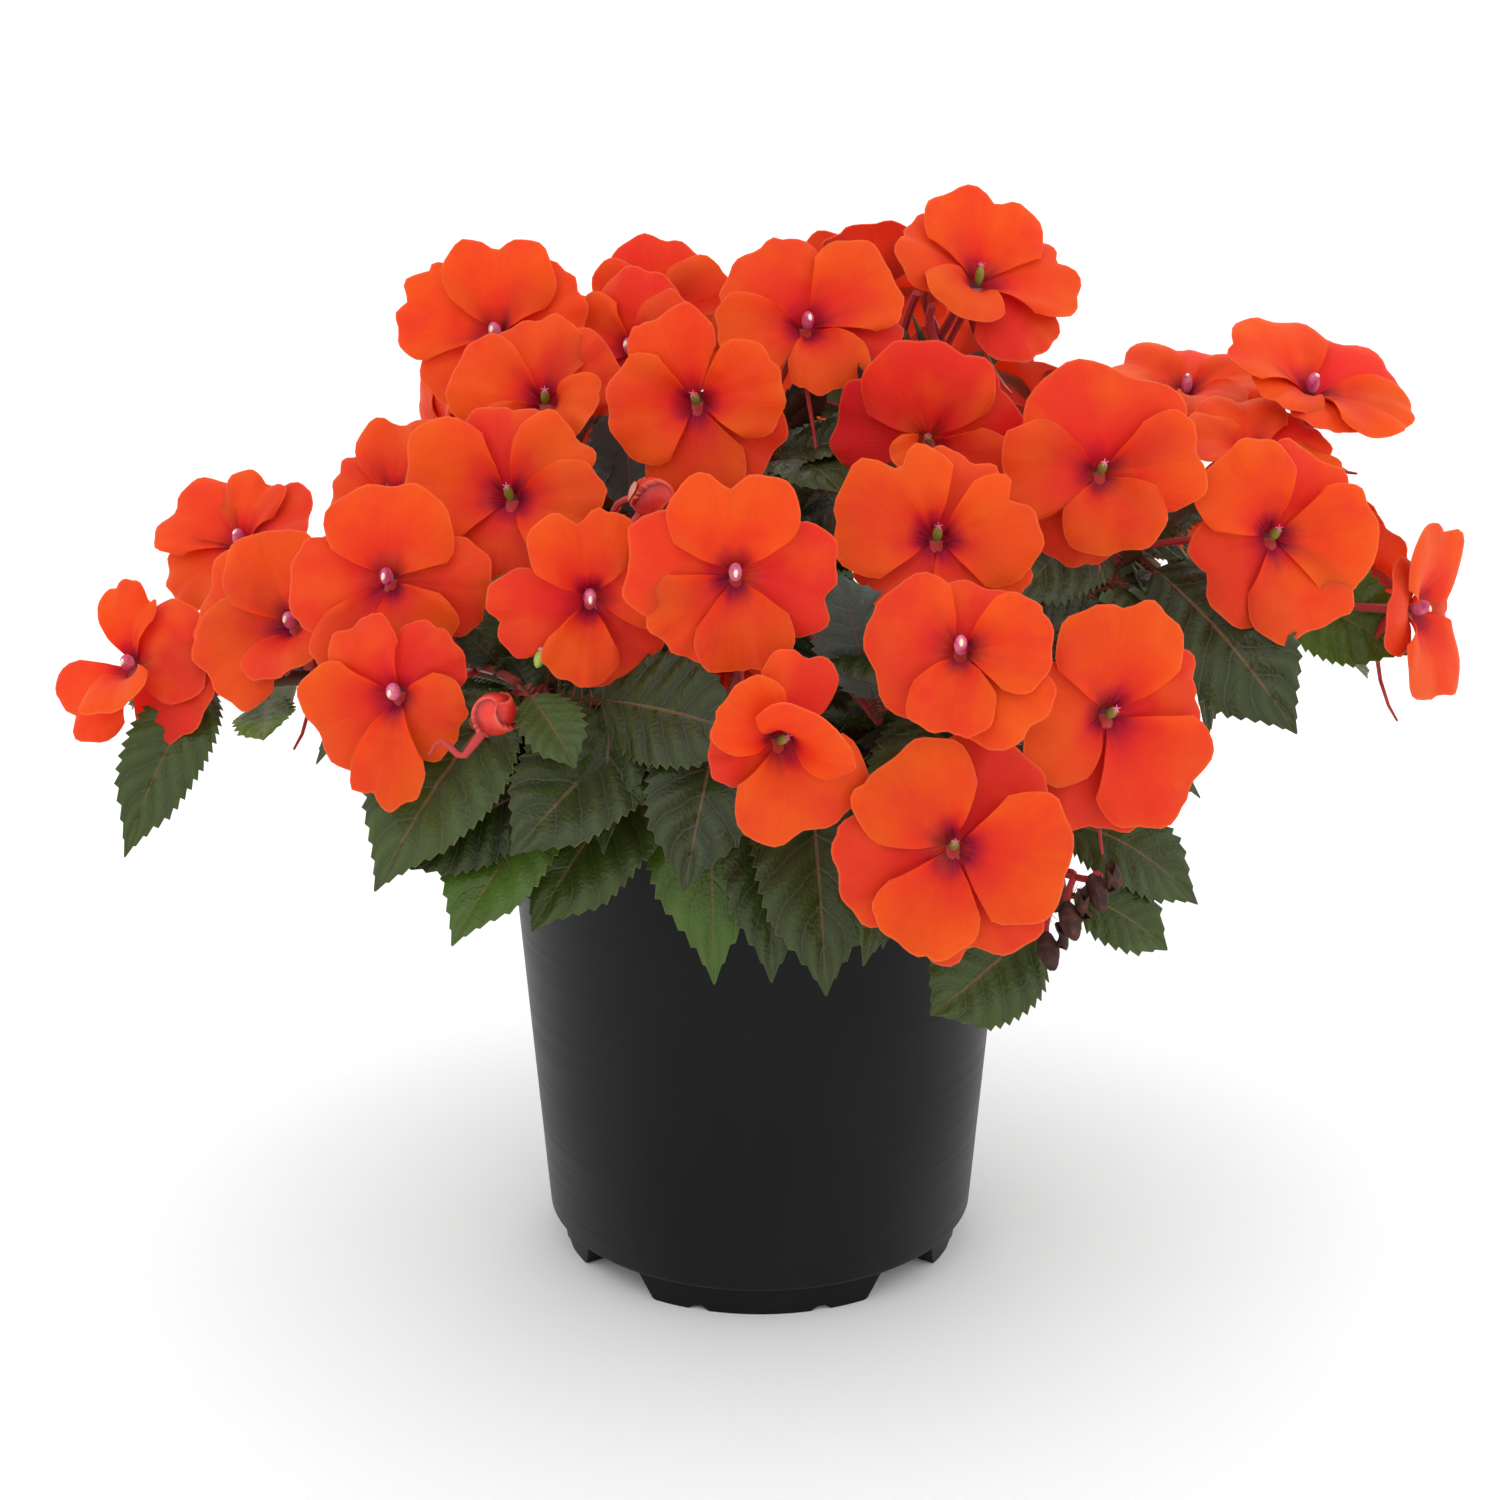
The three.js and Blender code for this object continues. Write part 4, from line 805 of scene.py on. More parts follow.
def mix_colour(material, factor, first, second):
    """A colour between two, each a hex value or what a node gives."""
    settings = {"data_type": "RGBA"}
    links = {0: factor}
    for socket, colour in ((6, first), (7, second)):
        if isinstance(colour, str):
            settings[socket] = linear(colour)
        else:
            links[socket] = colour
    return add_node(material, "Mix", settings, links).outputs[2]


from_vein, veins, midrib, from_midrib = vein_lines(leaf_face)
tone_value = add_node(leaf_face, "Attribute", {"attribute_name": "tone"}).outputs["Fac"]
blush_value = add_node(leaf_face, "Attribute", {"attribute_name": "blush"}).outputs["Fac"]
place = add_node(leaf_face, "TexCoord").outputs["Object"]
blotches = add_node(leaf_face, "TexNoise", {"Scale": 70.0, "Detail": 5.0}, {"Vector": place})
tone_spread = add_node(leaf_face, "Math", {"operation": "MULTIPLY_ADD", 1: 0.4, 2: -0.2}, {0: blotches})
tone_here = add_node(
    leaf_face, "Math", {"operation": "ADD", "use_clamp": True}, {0: tone_value, 1: tone_spread})
green = add_node(
    leaf_face, "ValToRGB",
    {"stops": [(0.0, "#22260F"), (0.35, "#2F380F"), (0.7, "#3C5213"), (1.0, "#4F7419")]}, {"Fac": tone_here})
vein_share = add_node(leaf_face, "Math", {"operation": "MULTIPLY", 1: 0.2}, {0: veins})
# Lighter on the bulges between the veins: partly the blade's own paler tissue, and partly a painted highlight
# where the quilted relief would catch the light
bulge_highlight_share = add_node(
    leaf_face, "MapRange", {"From Min": 0.1, "From Max": 0.5, "To Max": 0.2}, {"Value": from_vein})
bulge_highlighted = mix_colour(leaf_face, bulge_highlight_share, green, "#56702A")
veined = mix_colour(leaf_face, vein_share, bulge_highlighted, "#66753A")
reddened = mix_colour(leaf_face, blush_value, veined, "#4A2A24")
# A blush below 0 paints a blue-grey sheen instead, in place of the sky's reflection on an upright blade
painted_sheen_share = add_node(
    leaf_face, "Math", {"operation": "MULTIPLY", 1: -1.0, "use_clamp": True}, {0: blush_value})
sheen_greyed = mix_colour(leaf_face, painted_sheen_share, reddened, "#5C6E6A")
rib_share = add_node(leaf_face, "Math", {"operation": "MULTIPLY", 1: 0.75}, {0: midrib})
ribbed = mix_colour(leaf_face, rib_share, sheen_greyed, "#946A4C")
# The blade is a little paler along its very edge
pale_margin = add_node(
    leaf_face, "MapRange", {"From Min": 0.485, "From Max": 0.5, "To Max": 0.3}, {"Value": from_midrib})
edged = mix_colour(leaf_face, pale_margin, ribbed, "#7C7A3E")
pores = add_node(leaf_face, "TexVoronoi", {"Scale": 900.0}, {"Vector": place})
sunk = add_node(leaf_face, "Math", {"operation": "MULTIPLY_ADD", 1: -1.0}, {0: veins, 2: pores})
sunk_rib = add_node(leaf_face, "Math", {"operation": "MULTIPLY_ADD", 1: -1.5}, {0: midrib, 2: sunk})
blade_relief = add_node(leaf_face, "Bump", {"Strength": 0.45, "Distance": 0.0004}, {"Height": sunk_rib})
wax = add_node(
    leaf_face, "MapRange", {"From Min": 0.3, "From Max": 0.7, "To Min": 0.3, "To Max": 0.46},
    {"Value": blotches})
connect(leaf_face, Base_Color=edged, Roughness=wax, Normal=blade_relief)

pale = mottle(leaf_back, {"Scale": 70.0, "Detail": 4.0}, [(0.3, "#5B6A44"), (0.7, "#6F7A55")])
back_veins = vein_lines(leaf_back)[1]
raised = add_node(leaf_back, "Bump", {"Strength": 0.4, "Distance": 0.0004}, {"Height": back_veins})
connect(leaf_back, Base_Color=mix_colour(leaf_back, back_veins, pale, "#8A5A4A"), Normal=raised)

# Inner leaves and young ones follow one another round the stem at the golden angle, where they have room
GOLDEN_TURN = 137.5
INNER_LEAVES = 10
INNER_LENGTH = 42
INNER_WIDTH = 17
YOUNG_LEAVES = 7
YOUNG_LENGTH = 25
YOUNG_WIDTH = 8
LEAF_CLEARANCE = 14
# Radius and height inside which a leaf would meet the pot's rim
RIM_CLEARANCE = (68, 163)
front_ribs = [
    Rib(Vector(foot), Vector(tip), arch, width, azimuth) for shoot in SHOOTS.values()
    for foot, tip, arch, width, azimuth, _ in shoot["leaves"] if isinstance(foot, tuple)]
front_marks = [rib.at(step / 4)[0] for rib in front_ribs for step in range(1, 5)]


def has_room(rib):
    """Whether a small inner leaf keeps clear of the leaves in front, the pot's rim and the flowers' faces."""
    for along in (0.35, 0.6, 0.8, 1):
        point, _ = rib.at(along)
        if any((point - mark).length < LEAF_CLEARANCE for mark in front_marks):
            return False
        if point.z < RIM_CLEARANCE[1] and math.hypot(point.x, point.y) > RIM_CLEARANCE[0]:
            return False
        for shoot in SHOOTS.values():
            for middle, azimuth, elevation, across, _ in shoot["blooms"]:
                offset = point - Vector(middle)
                height = offset.dot(facing_way(azimuth, elevation))
                if -6 < height < 40 and offset.length < across / 2 + 8:
                    return False
    return True


leaf_number = 0
for shoot_name, shoot in SHOOTS.items():
    bm = new_shape()
    for share, tip, arch, width, azimuth, tone in shoot["leaves"]:
        leaf_number += 1
        tip = Vector(tip)
        if isinstance(share, tuple):
            rib = Rib(Vector(share), tip, arch, width, azimuth)
        else:
            base = root_point(shoot, share, tip)
            ribs = [Rib(base, tip, arch, width, azimuth, move) for move in LEAF_MOVES]
            rib = min(ribs, key=lambda rib: sum(shoot["tree"].find(mark)[2] for mark in rib.marks()))
        add_leaf(bm, rib, width, leaf_number, max(tone, 0), min(tone, 0))
    for rank in range(INNER_LEAVES):
        share = 0.3 + 0.068 * rank
        start = stem_point(shoot, share)
        azimuth = GOLDEN_TURN * rank + 40 * vary(leaf_number, 1)
        way = facing_way(azimuth, 12 + 14 * vary(rank, leaf_number))
        length = INNER_LENGTH + 7 * vary(leaf_number, rank)
        base = root_point(shoot, share, start + way * length)
        rib = Rib(base, base + way * length, 5, INNER_WIDTH, None)
        if has_room(rib):
            leaf_number += 1
            width = INNER_WIDTH + 2 * vary(leaf_number, 4)
            add_leaf(bm, rib, width, leaf_number, 0.3 + 0.3 * vary(leaf_number, 6), 0.15)
    # Young leaves stand in a tuft round the growing tip, narrow and flushed with brown red
    for rank in range(YOUNG_LEAVES):
        azimuth = GOLDEN_TURN * rank + 30 * vary(leaf_number, 2)
        way = facing_way(azimuth, 48 + 16 * vary(rank, leaf_number))
        length = YOUNG_LENGTH + 5 * vary(leaf_number, rank)
        base = stem_point(shoot, 0.94 + 0.008 * rank)
        rib = Rib(base, base + way * length, 2, YOUNG_WIDTH, None)
        if has_room(rib):
            leaf_number += 1
            width = YOUNG_WIDTH + 1.5 * vary(leaf_number, 4)
            add_leaf(bm, rib, width, leaf_number, 0.2 + 0.2 * vary(leaf_number, 6), 0.55)
    finish_piece(
        "leaves_" + shoot_name, bm, [leaf_face, leaf_back, stem_skin], ["shoot_" + shoot_name])


# Round red buds stand between the flowers, each a ball of petals folded over one another in a pinkish cup.
# Old flowers leave a small green capsule, withered petals, a bare stalk or, low on the right, brown pods.
BUD_GIRTH = 11.4
BUD_LENGTH = 12.6
SEPAL_GAP = 0.35
SEPAL_THICKNESS = 0.3
# The bud's own spur hooks down from its foot
BUD_SPUR = [
    (-2.5, 0, -3.5), (-5.5, -0.5, -7.5), (-8, -1, -10.6), (-9.6, -1, -10.4), (-12, -1, -8), (-13.6, -1, -6.6),
    (-15.4, -0.5, -7.8), (-17, 0, -10.5),
]
BUD_SPUR_RADII = [1.5, 1.2, 0.95, 0.9, 0.8, 0.7, 0.55, 0.35]
POD_GIRTH = 6
POD_LENGTH = 11
CAPSULE_GIRTH = 3
CAPSULE_LENGTH = 5
HEAD_STALK_STEPS = 12
# The way that each kind of old flower faces
OLD_FACING = {
    "pods": Vector((0.2, -0.6, -0.75)).normalized(), "capsules": facing_way(-30, -60),
    "withered": facing_way(0, -50), "spent": facing_way(20, 45),
}
# The creases of the dry petals are drawn from a fixed start, so that each run has the same ones
noise.seed_set(5)


def stood_at(middle, facing):
    """The move that stands a shape at a place, with its top turned to a direction."""
    return Matrix.Translation(middle) @ UP.rotation_difference(facing).to_matrix().to_4x4()


def add_bud(bm, middle, facing):
    """Three petals folded into a ball, with slanting seams, two small sepals round its foot, and its spur."""
    turn = stood_at(middle, facing)
    ball = bmesh.ops.create_uvsphere(bm, u_segments=60, v_segments=24, radius=1)["verts"]
    tone_layer = bm.verts.layers.float["tone"]
    blush_layer = bm.verts.layers.float["blush"]
    for vert in ball:
        around = math.atan2(vert.co.y, vert.co.x) / (2 * math.pi)
        seam = (3 * around + 0.6 * vert.co.z + 0.2) % 1
        # Just past each seam, where a folded edge overhangs, the tone paints shade, and the blush paints a
        # highlight on the edge itself
        vert[tone_layer] = (1 - seam) ** 5
        vert[blush_layer] = seam ** 12
        swell = (1 + 0.24 * math.hypot(vert.co.x, vert.co.y) * (seam ** 3 - 0.4)) * BUD_GIRTH / 2
        vert.co = turn @ Vector((vert.co.x * swell, vert.co.y * swell, vert.co.z * BUD_LENGTH / 2))
    paint(ball, 1)
    for sepal in range(2):
        sheet = bmesh.ops.create_grid(bm, x_segments=6, y_segments=8, size=1, calc_uvs=True)["verts"]
        for vert in sheet:
            out = (vert.co.y + 1) / 2
            angle = math.pi * (sepal + 0.15) + vert.co.x * 0.95 * (1 - 0.85 * out ** 1.5)
            lean = math.pi * (0.97 - 0.42 * out)
            girth = (BUD_GIRTH / 2 + SEPAL_GAP + 0.8 * out ** 4) * math.sin(lean)
            height = (BUD_LENGTH / 2 + SEPAL_GAP) * math.cos(lean)
            vert.co = turn @ Vector((girth * math.cos(angle), girth * math.sin(angle), height))
        # Both faces of a sepal are pink, and its thin edge is red, as the stalk
        faces = faces_of(sheet)
        bmesh.ops.recalc_face_normals(bm, faces=faces)
        thicken(bm, faces, SEPAL_THICKNESS, 2)
        for face in faces:
            face.material_index = 2
    add_limb(bm, [Vector(middle) + Vector(point) for point in BUD_SPUR], BUD_SPUR_RADII, 8, 0.95)


def add_pod(bm, middle, facing, girth, length, material, ribs):
    """A ribbed pointed egg, with the depth of its ribs as a share of its girth."""
    turn = stood_at(middle, facing)
    egg = bmesh.ops.create_uvsphere(bm, u_segments=30, v_segments=14, radius=1)["verts"]
    for vert in egg:
        around = math.atan2(vert.co.y, vert.co.x)
        shrunk = 1 - ribs * abs(math.sin(2.5 * around)) + ribs * noise.noise(vert.co * 3 + Vector(middle))
        taper = 1 - 0.25 * max(vert.co.z, 0) ** 2
        girdle = girth / 2 * shrunk * taper
        vert.co = turn @ Vector((vert.co.x * girdle, vert.co.y * girdle, vert.co.z * length / 2))
    paint(egg, material)


def add_withered(bm, middle, size):
    """A dry petal, curled and crumpled: a ball pressed flat, which stays closed however it folds."""
    petal = bmesh.ops.create_uvsphere(bm, u_segments=30, v_segments=14, radius=1)["verts"]
    for vert in petal:
        flat = Vector((vert.co.x, vert.co.y, 0))
        curl = math.pi * 1.05 * flat.x
        girth = 0.42 * size + 0.22 * vert.co.z
        base = Vector((girth * math.sin(curl), girth * math.cos(curl), -size * flat.y))
        crease = noise.noise_vector(flat * size / 3.4 + middle) * 0.45 * size
        vert.co = middle + base + crease
    paint(petal, 4)


# Folded petals: taut and a little glossy, scarlet, with a painted shade of deeper red just past each fold,
# where an edge overhangs, and a painted paler highlight on the rims.
bud_petals = new_material(
    "folded petals of a bud", Roughness=0.36, IOR=1.4, Subsurface_Weight=0.15,
    Subsurface_Radius=(0.002, 0.0006, 0.0004), Subsurface_Scale=1.0)
scarlet = mottle(
    bud_petals, {"Scale": 150.0, "Detail": 5.0}, [(0.3, "#B4161C"), (0.65, "#E03A2C")], (0.5, 0.0002))
fold_shade_value = add_node(bud_petals, "Attribute", {"attribute_name": "tone"}).outputs["Fac"]
rim_highlight_value = add_node(bud_petals, "Attribute", {"attribute_name": "blush"}).outputs["Fac"]
fold_shaded = mix_colour(bud_petals, fold_shade_value, scarlet, "#7A0C16")
connect(bud_petals, Base_Color=mix_colour(bud_petals, rim_highlight_value, fold_shaded, "#EC6E54"))
# Sepals: thin, dull and pink.
sepal_skin = new_material("thin pink sepals", Roughness=0.5, IOR=1.4)
mottle(sepal_skin, {"Scale": 220.0, "Detail": 5.0}, [(0.35, "#C8665A"), (0.65, "#DC9686")], (0.5, 0.0002))
# A fresh capsule: smooth light green.
capsule_skin = new_material("green seed capsule", Roughness=0.35, IOR=1.4)
mottle(capsule_skin, {"Scale": 300.0, "Detail": 5.0}, [(0.35, "#7F9A38"), (0.65, "#A8B85A")], (0.5, 0.0002))
# Dry petals and pods: dull dark brown, finely wrinkled.
dry_skin = new_material("dry brown pod", Roughness=0.7, IOR=1.45)
mottle(dry_skin, {"Scale": 420.0, "Detail": 5.0}, [(0.3, "#1F100B"), (0.55, "#45241A"), (0.8, "#6E3B28")],
       (0.5, 0.0006))

for shoot_name, shoot in SHOOTS.items():
    heads = [("buds", middle, facing_way(*way)) for middle, *way in shoot.get("buds", [])]
    heads += [(kind, middle, facing) for kind, facing in OLD_FACING.items() for middle in shoot.get(kind, [])]
    if not heads:
        continue
    bm = new_shape()
    for kind, middle, facing in heads:
        middle = Vector(middle)
        end = middle - facing * (5 if kind == "buds" else 2)
        start = root_point(shoot, 0.9, end)
        path = own_stalk(shoot["tree"], start, end, facing, HEAD_STALK_STEPS)
        radius, blush = (1.3, 0.95) if kind == "spent" else (0.95, 0.8)
        add_limb(bm, path, [radius] * len(path), 7, blush)
        if kind == "buds":
            add_bud(bm, middle, facing)
        elif kind == "pods":
            add_pod(bm, middle, facing, POD_GIRTH, POD_LENGTH, 4, 0.16)
            add_withered(bm, middle + Vector((3, 0, 4)), 4)
        elif kind == "capsules":
            add_pod(bm, middle, facing, CAPSULE_GIRTH, CAPSULE_LENGTH, 3, 0.05)
            add_pod(bm, middle - facing * 2.4, facing, 3.2, 1.8, 2, 0.05)
        elif kind == "withered":
            add_withered(bm, middle, 6)
            add_withered(bm, middle + Vector((4, -2, -3)), 4)
    finish_piece(
        "buds_" + shoot_name, bm, [stem_skin, bud_petals, sepal_skin, capsule_skin, dry_skin],
        ["shoot_" + shoot_name])


# The flowers are flat and open, with five broad heart-shaped petals that overlap in a ring.
# Behind them a small sepal runs out into a long thin spur, and a column stands in the dark throat.
# Half of the degrees that a petal spreads over
PETAL_SPREAD = 46
# Each petal is this much wider than its spread, so that it runs under its neighbours
PETAL_OVERLAP = 1.14
PETAL_THICKNESS = 0.3
PETAL_ROWS = 14
PETAL_COLUMNS = 22
# How far a petal's side lies over or under its neighbour, and a layer over the one below
SIDE_LIFT = 0.9
LAYER_LIFT = 0.4
THROAT = 1.7
# The throat behind the petals, as heights and radii, and the radii of the spur
THROAT_SECTION = [(-6, 1.6), (-3.6, 2.6), (-2.9, 3.2)]
SPUR_RADII = [3.4, 2.6, 1.7, 1.0, 0.7, 0.6, 0.5, 0.35]
# Flowers past their first days, whose column has dropped to bare a green ovary with a star on it
RIPE = (4, 7, 10, 14, 18, 20, 22, 23, 25, 26, 27, 28, 36, 40)
# Flowers of a deeper red, and by how much
DEEPER = {22: 0.4, 8: 0.12, 1: 0.1, 18: 0.12, 25: 0.08, 3: 0.1, 24: -0.08, 14: -0.1, 23: -0.08}
# Which petal lies over which, from the top one round to the left: a higher number lies in front
LAYERS = [(4, 1, 3, 0, 2), (2, 4, 1, 3, 0), (4, 2, 0, 1, 3), (0, 3, 1, 4, 2), (3, 0, 2, 4, 1)]
# The petals of the flowers in front, from the top one round to the left. Each is (direction in degrees, half
# of its spread, length, depth of its notch as a share, place of the notch across it from -1 to 1, layer, and
# lean towards the face in degrees). A petal that is cleft to its foot has a row for each lobe
PETALS = {
    1: [(92, 30, 24, 0.12, 0.5, 4, 3), (226, 42, 25, 0.12, 0, 2, 0), (290, 42, 22, 0.03, 0, 3, 42),
        (342, 48, 28, 0.04, 0, 0, -6), (22, 50, 26, 0.04, 0, 1, -3)],
    2: [(112, 48, 27, 0.05, 0, 4, 6), (166, 46, 29, 0.04, 0, 2, 0), (214, 46, 29, 0.04, 0, 3, 3),
        (288, 54, 21, 0.04, 0, 1, 36), (40, 46, 27, 0.04, 0, 0, 0)],
    3: [(80, 44, 22, 0.1, 0.2, 2, 16), (160, 44, 27, 0.08, 0, 3, 4), (232, 42, 25, 0.06, 0, 4, -16),
        (306, 44, 24, 0.05, 0, 0, -10), (14, 46, 27, 0.08, 0, 1, 10)],
    4: [(88, 48, 25, 0.08, -0.1, 3, 0), (160, 42, 20, 0.04, 0, 2, 0), (220, 42, 20, 0.04, 0, 0, 0),
        (300, 45, 25, 0.04, 0, 1, 0), (20, 45, 25, 0.04, 0, 2, 0)],
    5: [(85, 60, 26, 0.05, 0, 3, 0), (190, 38, 28, 0.05, 0, 1, 0), (252, 38, 30, 0.04, 0, 2, 0),
        (305, 38, 25, 0.04, 0.2, 4, 5), (357, 36, 28, 0.06, 0, 0, -6)],
    6: [(46, 38, 22, 0.04, 0, 0, -6), (128, 40, 22, 0.04, 0, 1, -6), (203, 46, 26, 0.05, 0, 2, 0),
        (274, 26, 30, 0.13, 0.3, 4, 16), (338, 46, 21, 0.04, 0, 3, 0)],
    7: [(101, 42, 26, 0.04, 0, 0, -4), (170, 48, 31, 0.05, 0, 3, 4), (260, 50, 24, 0.05, 0, 1, 0),
        (347, 42, 28, 0.08, 0, 4, 4), (44, 38, 26, 0.05, 0, 2, 0)],
    8: [(98, 48, 24, 0.16, 0, 3, 0), (191, 34, 26, 0.05, 0, 1, -5), (259, 34, 22, 0.03, 0, 4, 8),
        (295, 44, 24, 0.08, -0.4, 0, -8), (17, 40, 24, 0.05, 0, 2, 4)],
    9: [(84, 52, 28, 0.13, -0.1, 4, 4), (163, 36, 31, 0.1, 0, 3, 0), (239, 45, 26, 0.05, 0, 1, 0),
        (312, 40, 24, 0.05, 0, 0, -4), (29, 38, 28, 0.05, 0, 2, -6)],
    10: [(91, 42, 24, 0.04, 0, 1, 0), (163, 40, 27, 0.05, 0, 2, 0), (231, 44, 23, 0.04, 0, 3, 0),
         (334, 36, 22, 0.03, 0, 4, 45), (41, 44, 24, 0.05, 0, 0, 0)],
    14: [(112, 36, 26, 0.05, 0, 2, 0), (188, 52, 24, 0.05, 0, 4, 5), (272, 42, 27, 0.05, 0, 1, 0),
         (323, 38, 26, 0.05, 0, 0, -8), (16, 42, 25, 0.04, 0, 3, 2)],
    15: [(122, 50, 27, 0.09, 0.1, 1, -4), (194, 36, 27, 0.04, 0, 2, 4), (289, 44, 22, 0.03, 0, 4, 6),
         (347, 34, 28, 0.05, 0, 0, -3), (35, 40, 29, 0.04, 0, 3, 2)],
    17: [(93, 51, 27, 0.2, 0, 4, 5), (171, 38, 28, 0.05, 0, 1, 0), (222, 38, 25, 0.05, 0, 2, 0),
         (279, 40, 25, 0.06, 0, 3, 3), (354, 46, 26, 0.1, 0.2, 0, -6)],
    18: [(72, 36, 23, 0.04, 0, 0, -8), (138, 38, 22, 0.04, 0, 3, 4), (185, 38, 19, 0.04, 0, 1, -8),
         (289, 66, 25, 0.05, 0.1, 2, 4), (46, 56, 22, 0.03, 0, 4, 56)],
    20: [(76, 54, 29, 0.2, 0.15, 3, 20), (146, 44, 27, 0.04, 0, 1, 8), (223, 48, 22, 0.04, 0, 4, 8),
         (292, 38, 29, 0.04, 0, 0, -6), (353, 42, 30, 0.2, -0.3, 2, 5)],
    22: [(92, 54, 29, 0.06, 0.35, 2, 3), (163, 40, 27, 0.04, 0, 0, -6), (216, 30, 20, 0.05, 0, 4, 58),
         (332, 40, 25, 0.05, 0, 3, 8), (30, 36, 26, 0.04, 0, 1, -5)],
    23: [(67, 38, 24, 0.05, 0, 0, -6), (147, 60, 28, 0.25, 0.4, 4, 4), (223, 36, 24, 0.05, 0, 1, 0),
         (312, 42, 26, 0.05, 0, 2, 0), (5, 45, 26, 0.15, -0.45, 3, 5)],
    24: [(65, 54, 18, 0.04, 0, 0, -6), (182, 72, 24, 0.12, -0.15, 1, 0), (263, 38, 23, 0.03, 0, 4, 6),
         (309, 36, 27, 0.04, 0, 2, -3), (5, 44, 23, 0.05, 0, 3, 5)],
    25: [(87, 46, 31, 0.1, 0, 4, 4), (183, 53, 26, 0.04, 0, 3, 3), (262, 38, 31, 0.04, 0, 0, -6),
         (307, 45, 31, 0.1, -0.2, 2, 5), (19, 40, 26, 0.05, 0, 1, -5)],
    26: [(62, 46, 30, 0.04, 0, -1, -9), (124, 44, 30, 0.06, -0.15, 3, 4), (192, 38, 31, 0.08, 0.1, 1, 2),
         (247, 38, 28, 0.03, 0, 4, 6), (291, 42, 31, 0.14, 0.22, 0, -3), (353, 48, 30, 0.1, 0.16, 3, 4)],
    27: [(87, 68, 30, 0.1, 0.2, 1, -3), (176, 38, 28, 0.04, 0, 2, 0), (246, 38, 26, 0.03, 0, 0, -8),
         (283, 54, 23, 0.03, 0, 4, 8), (8, 38, 28, 0.06, 0, 3, 3)],
    28: [(58, 42, 27, 0.04, 0, 0, -6), (124, 42, 29, 0.04, 0, 4, 5), (223, 58, 26, 0.14, 0.25, 1, 0),
         (290, 44, 29, 0.04, 0, 2, 6), (357, 42, 29, 0.06, 0.2, 3, 4)],
    30: [(118, 56, 29, 0.08, 0.3, 3, 4), (200, 46, 21, 0.04, 0, 2, 0), (258, 40, 23, 0.04, 0, 1, 0),
         (308, 40, 30, 0.03, 0, 4, 0), (10, 62, 29, 0.1, -0.5, 0, 0)],
    33: [(82, 58, 27, 0.1, 0.2, 4, 8), (165, 56, 22, 0.05, 0, 0, 0), (272, 58, 28, 0.08, 0, 3, 10),
         (328, 46, 24, 0.05, 0, 1, -8), (18, 46, 24, 0.05, 0, 2, -8)],
}


def petal_forms(number, radius):
    """The petals of a flower: its own rows, or five steady ones with small differences."""
    layers = LAYERS[(number * 3) % len(LAYERS)]
    steady = [
        (90 + 72 * petal + 6 * vary(number, 0) + 4 * vary(number, petal + 9),
         PETAL_SPREAD + 3 * vary(number, petal + 4), radius * (0.97 + 0.07 * vary(number, petal + 1)),
         0.085 + 0.04 * vary(number, petal + 2), 0.15 * vary(number, petal + 11), layers[petal],
         6 * vary(number, petal + 7))
        for petal in range(5)]
    return PETALS.get(number, steady)


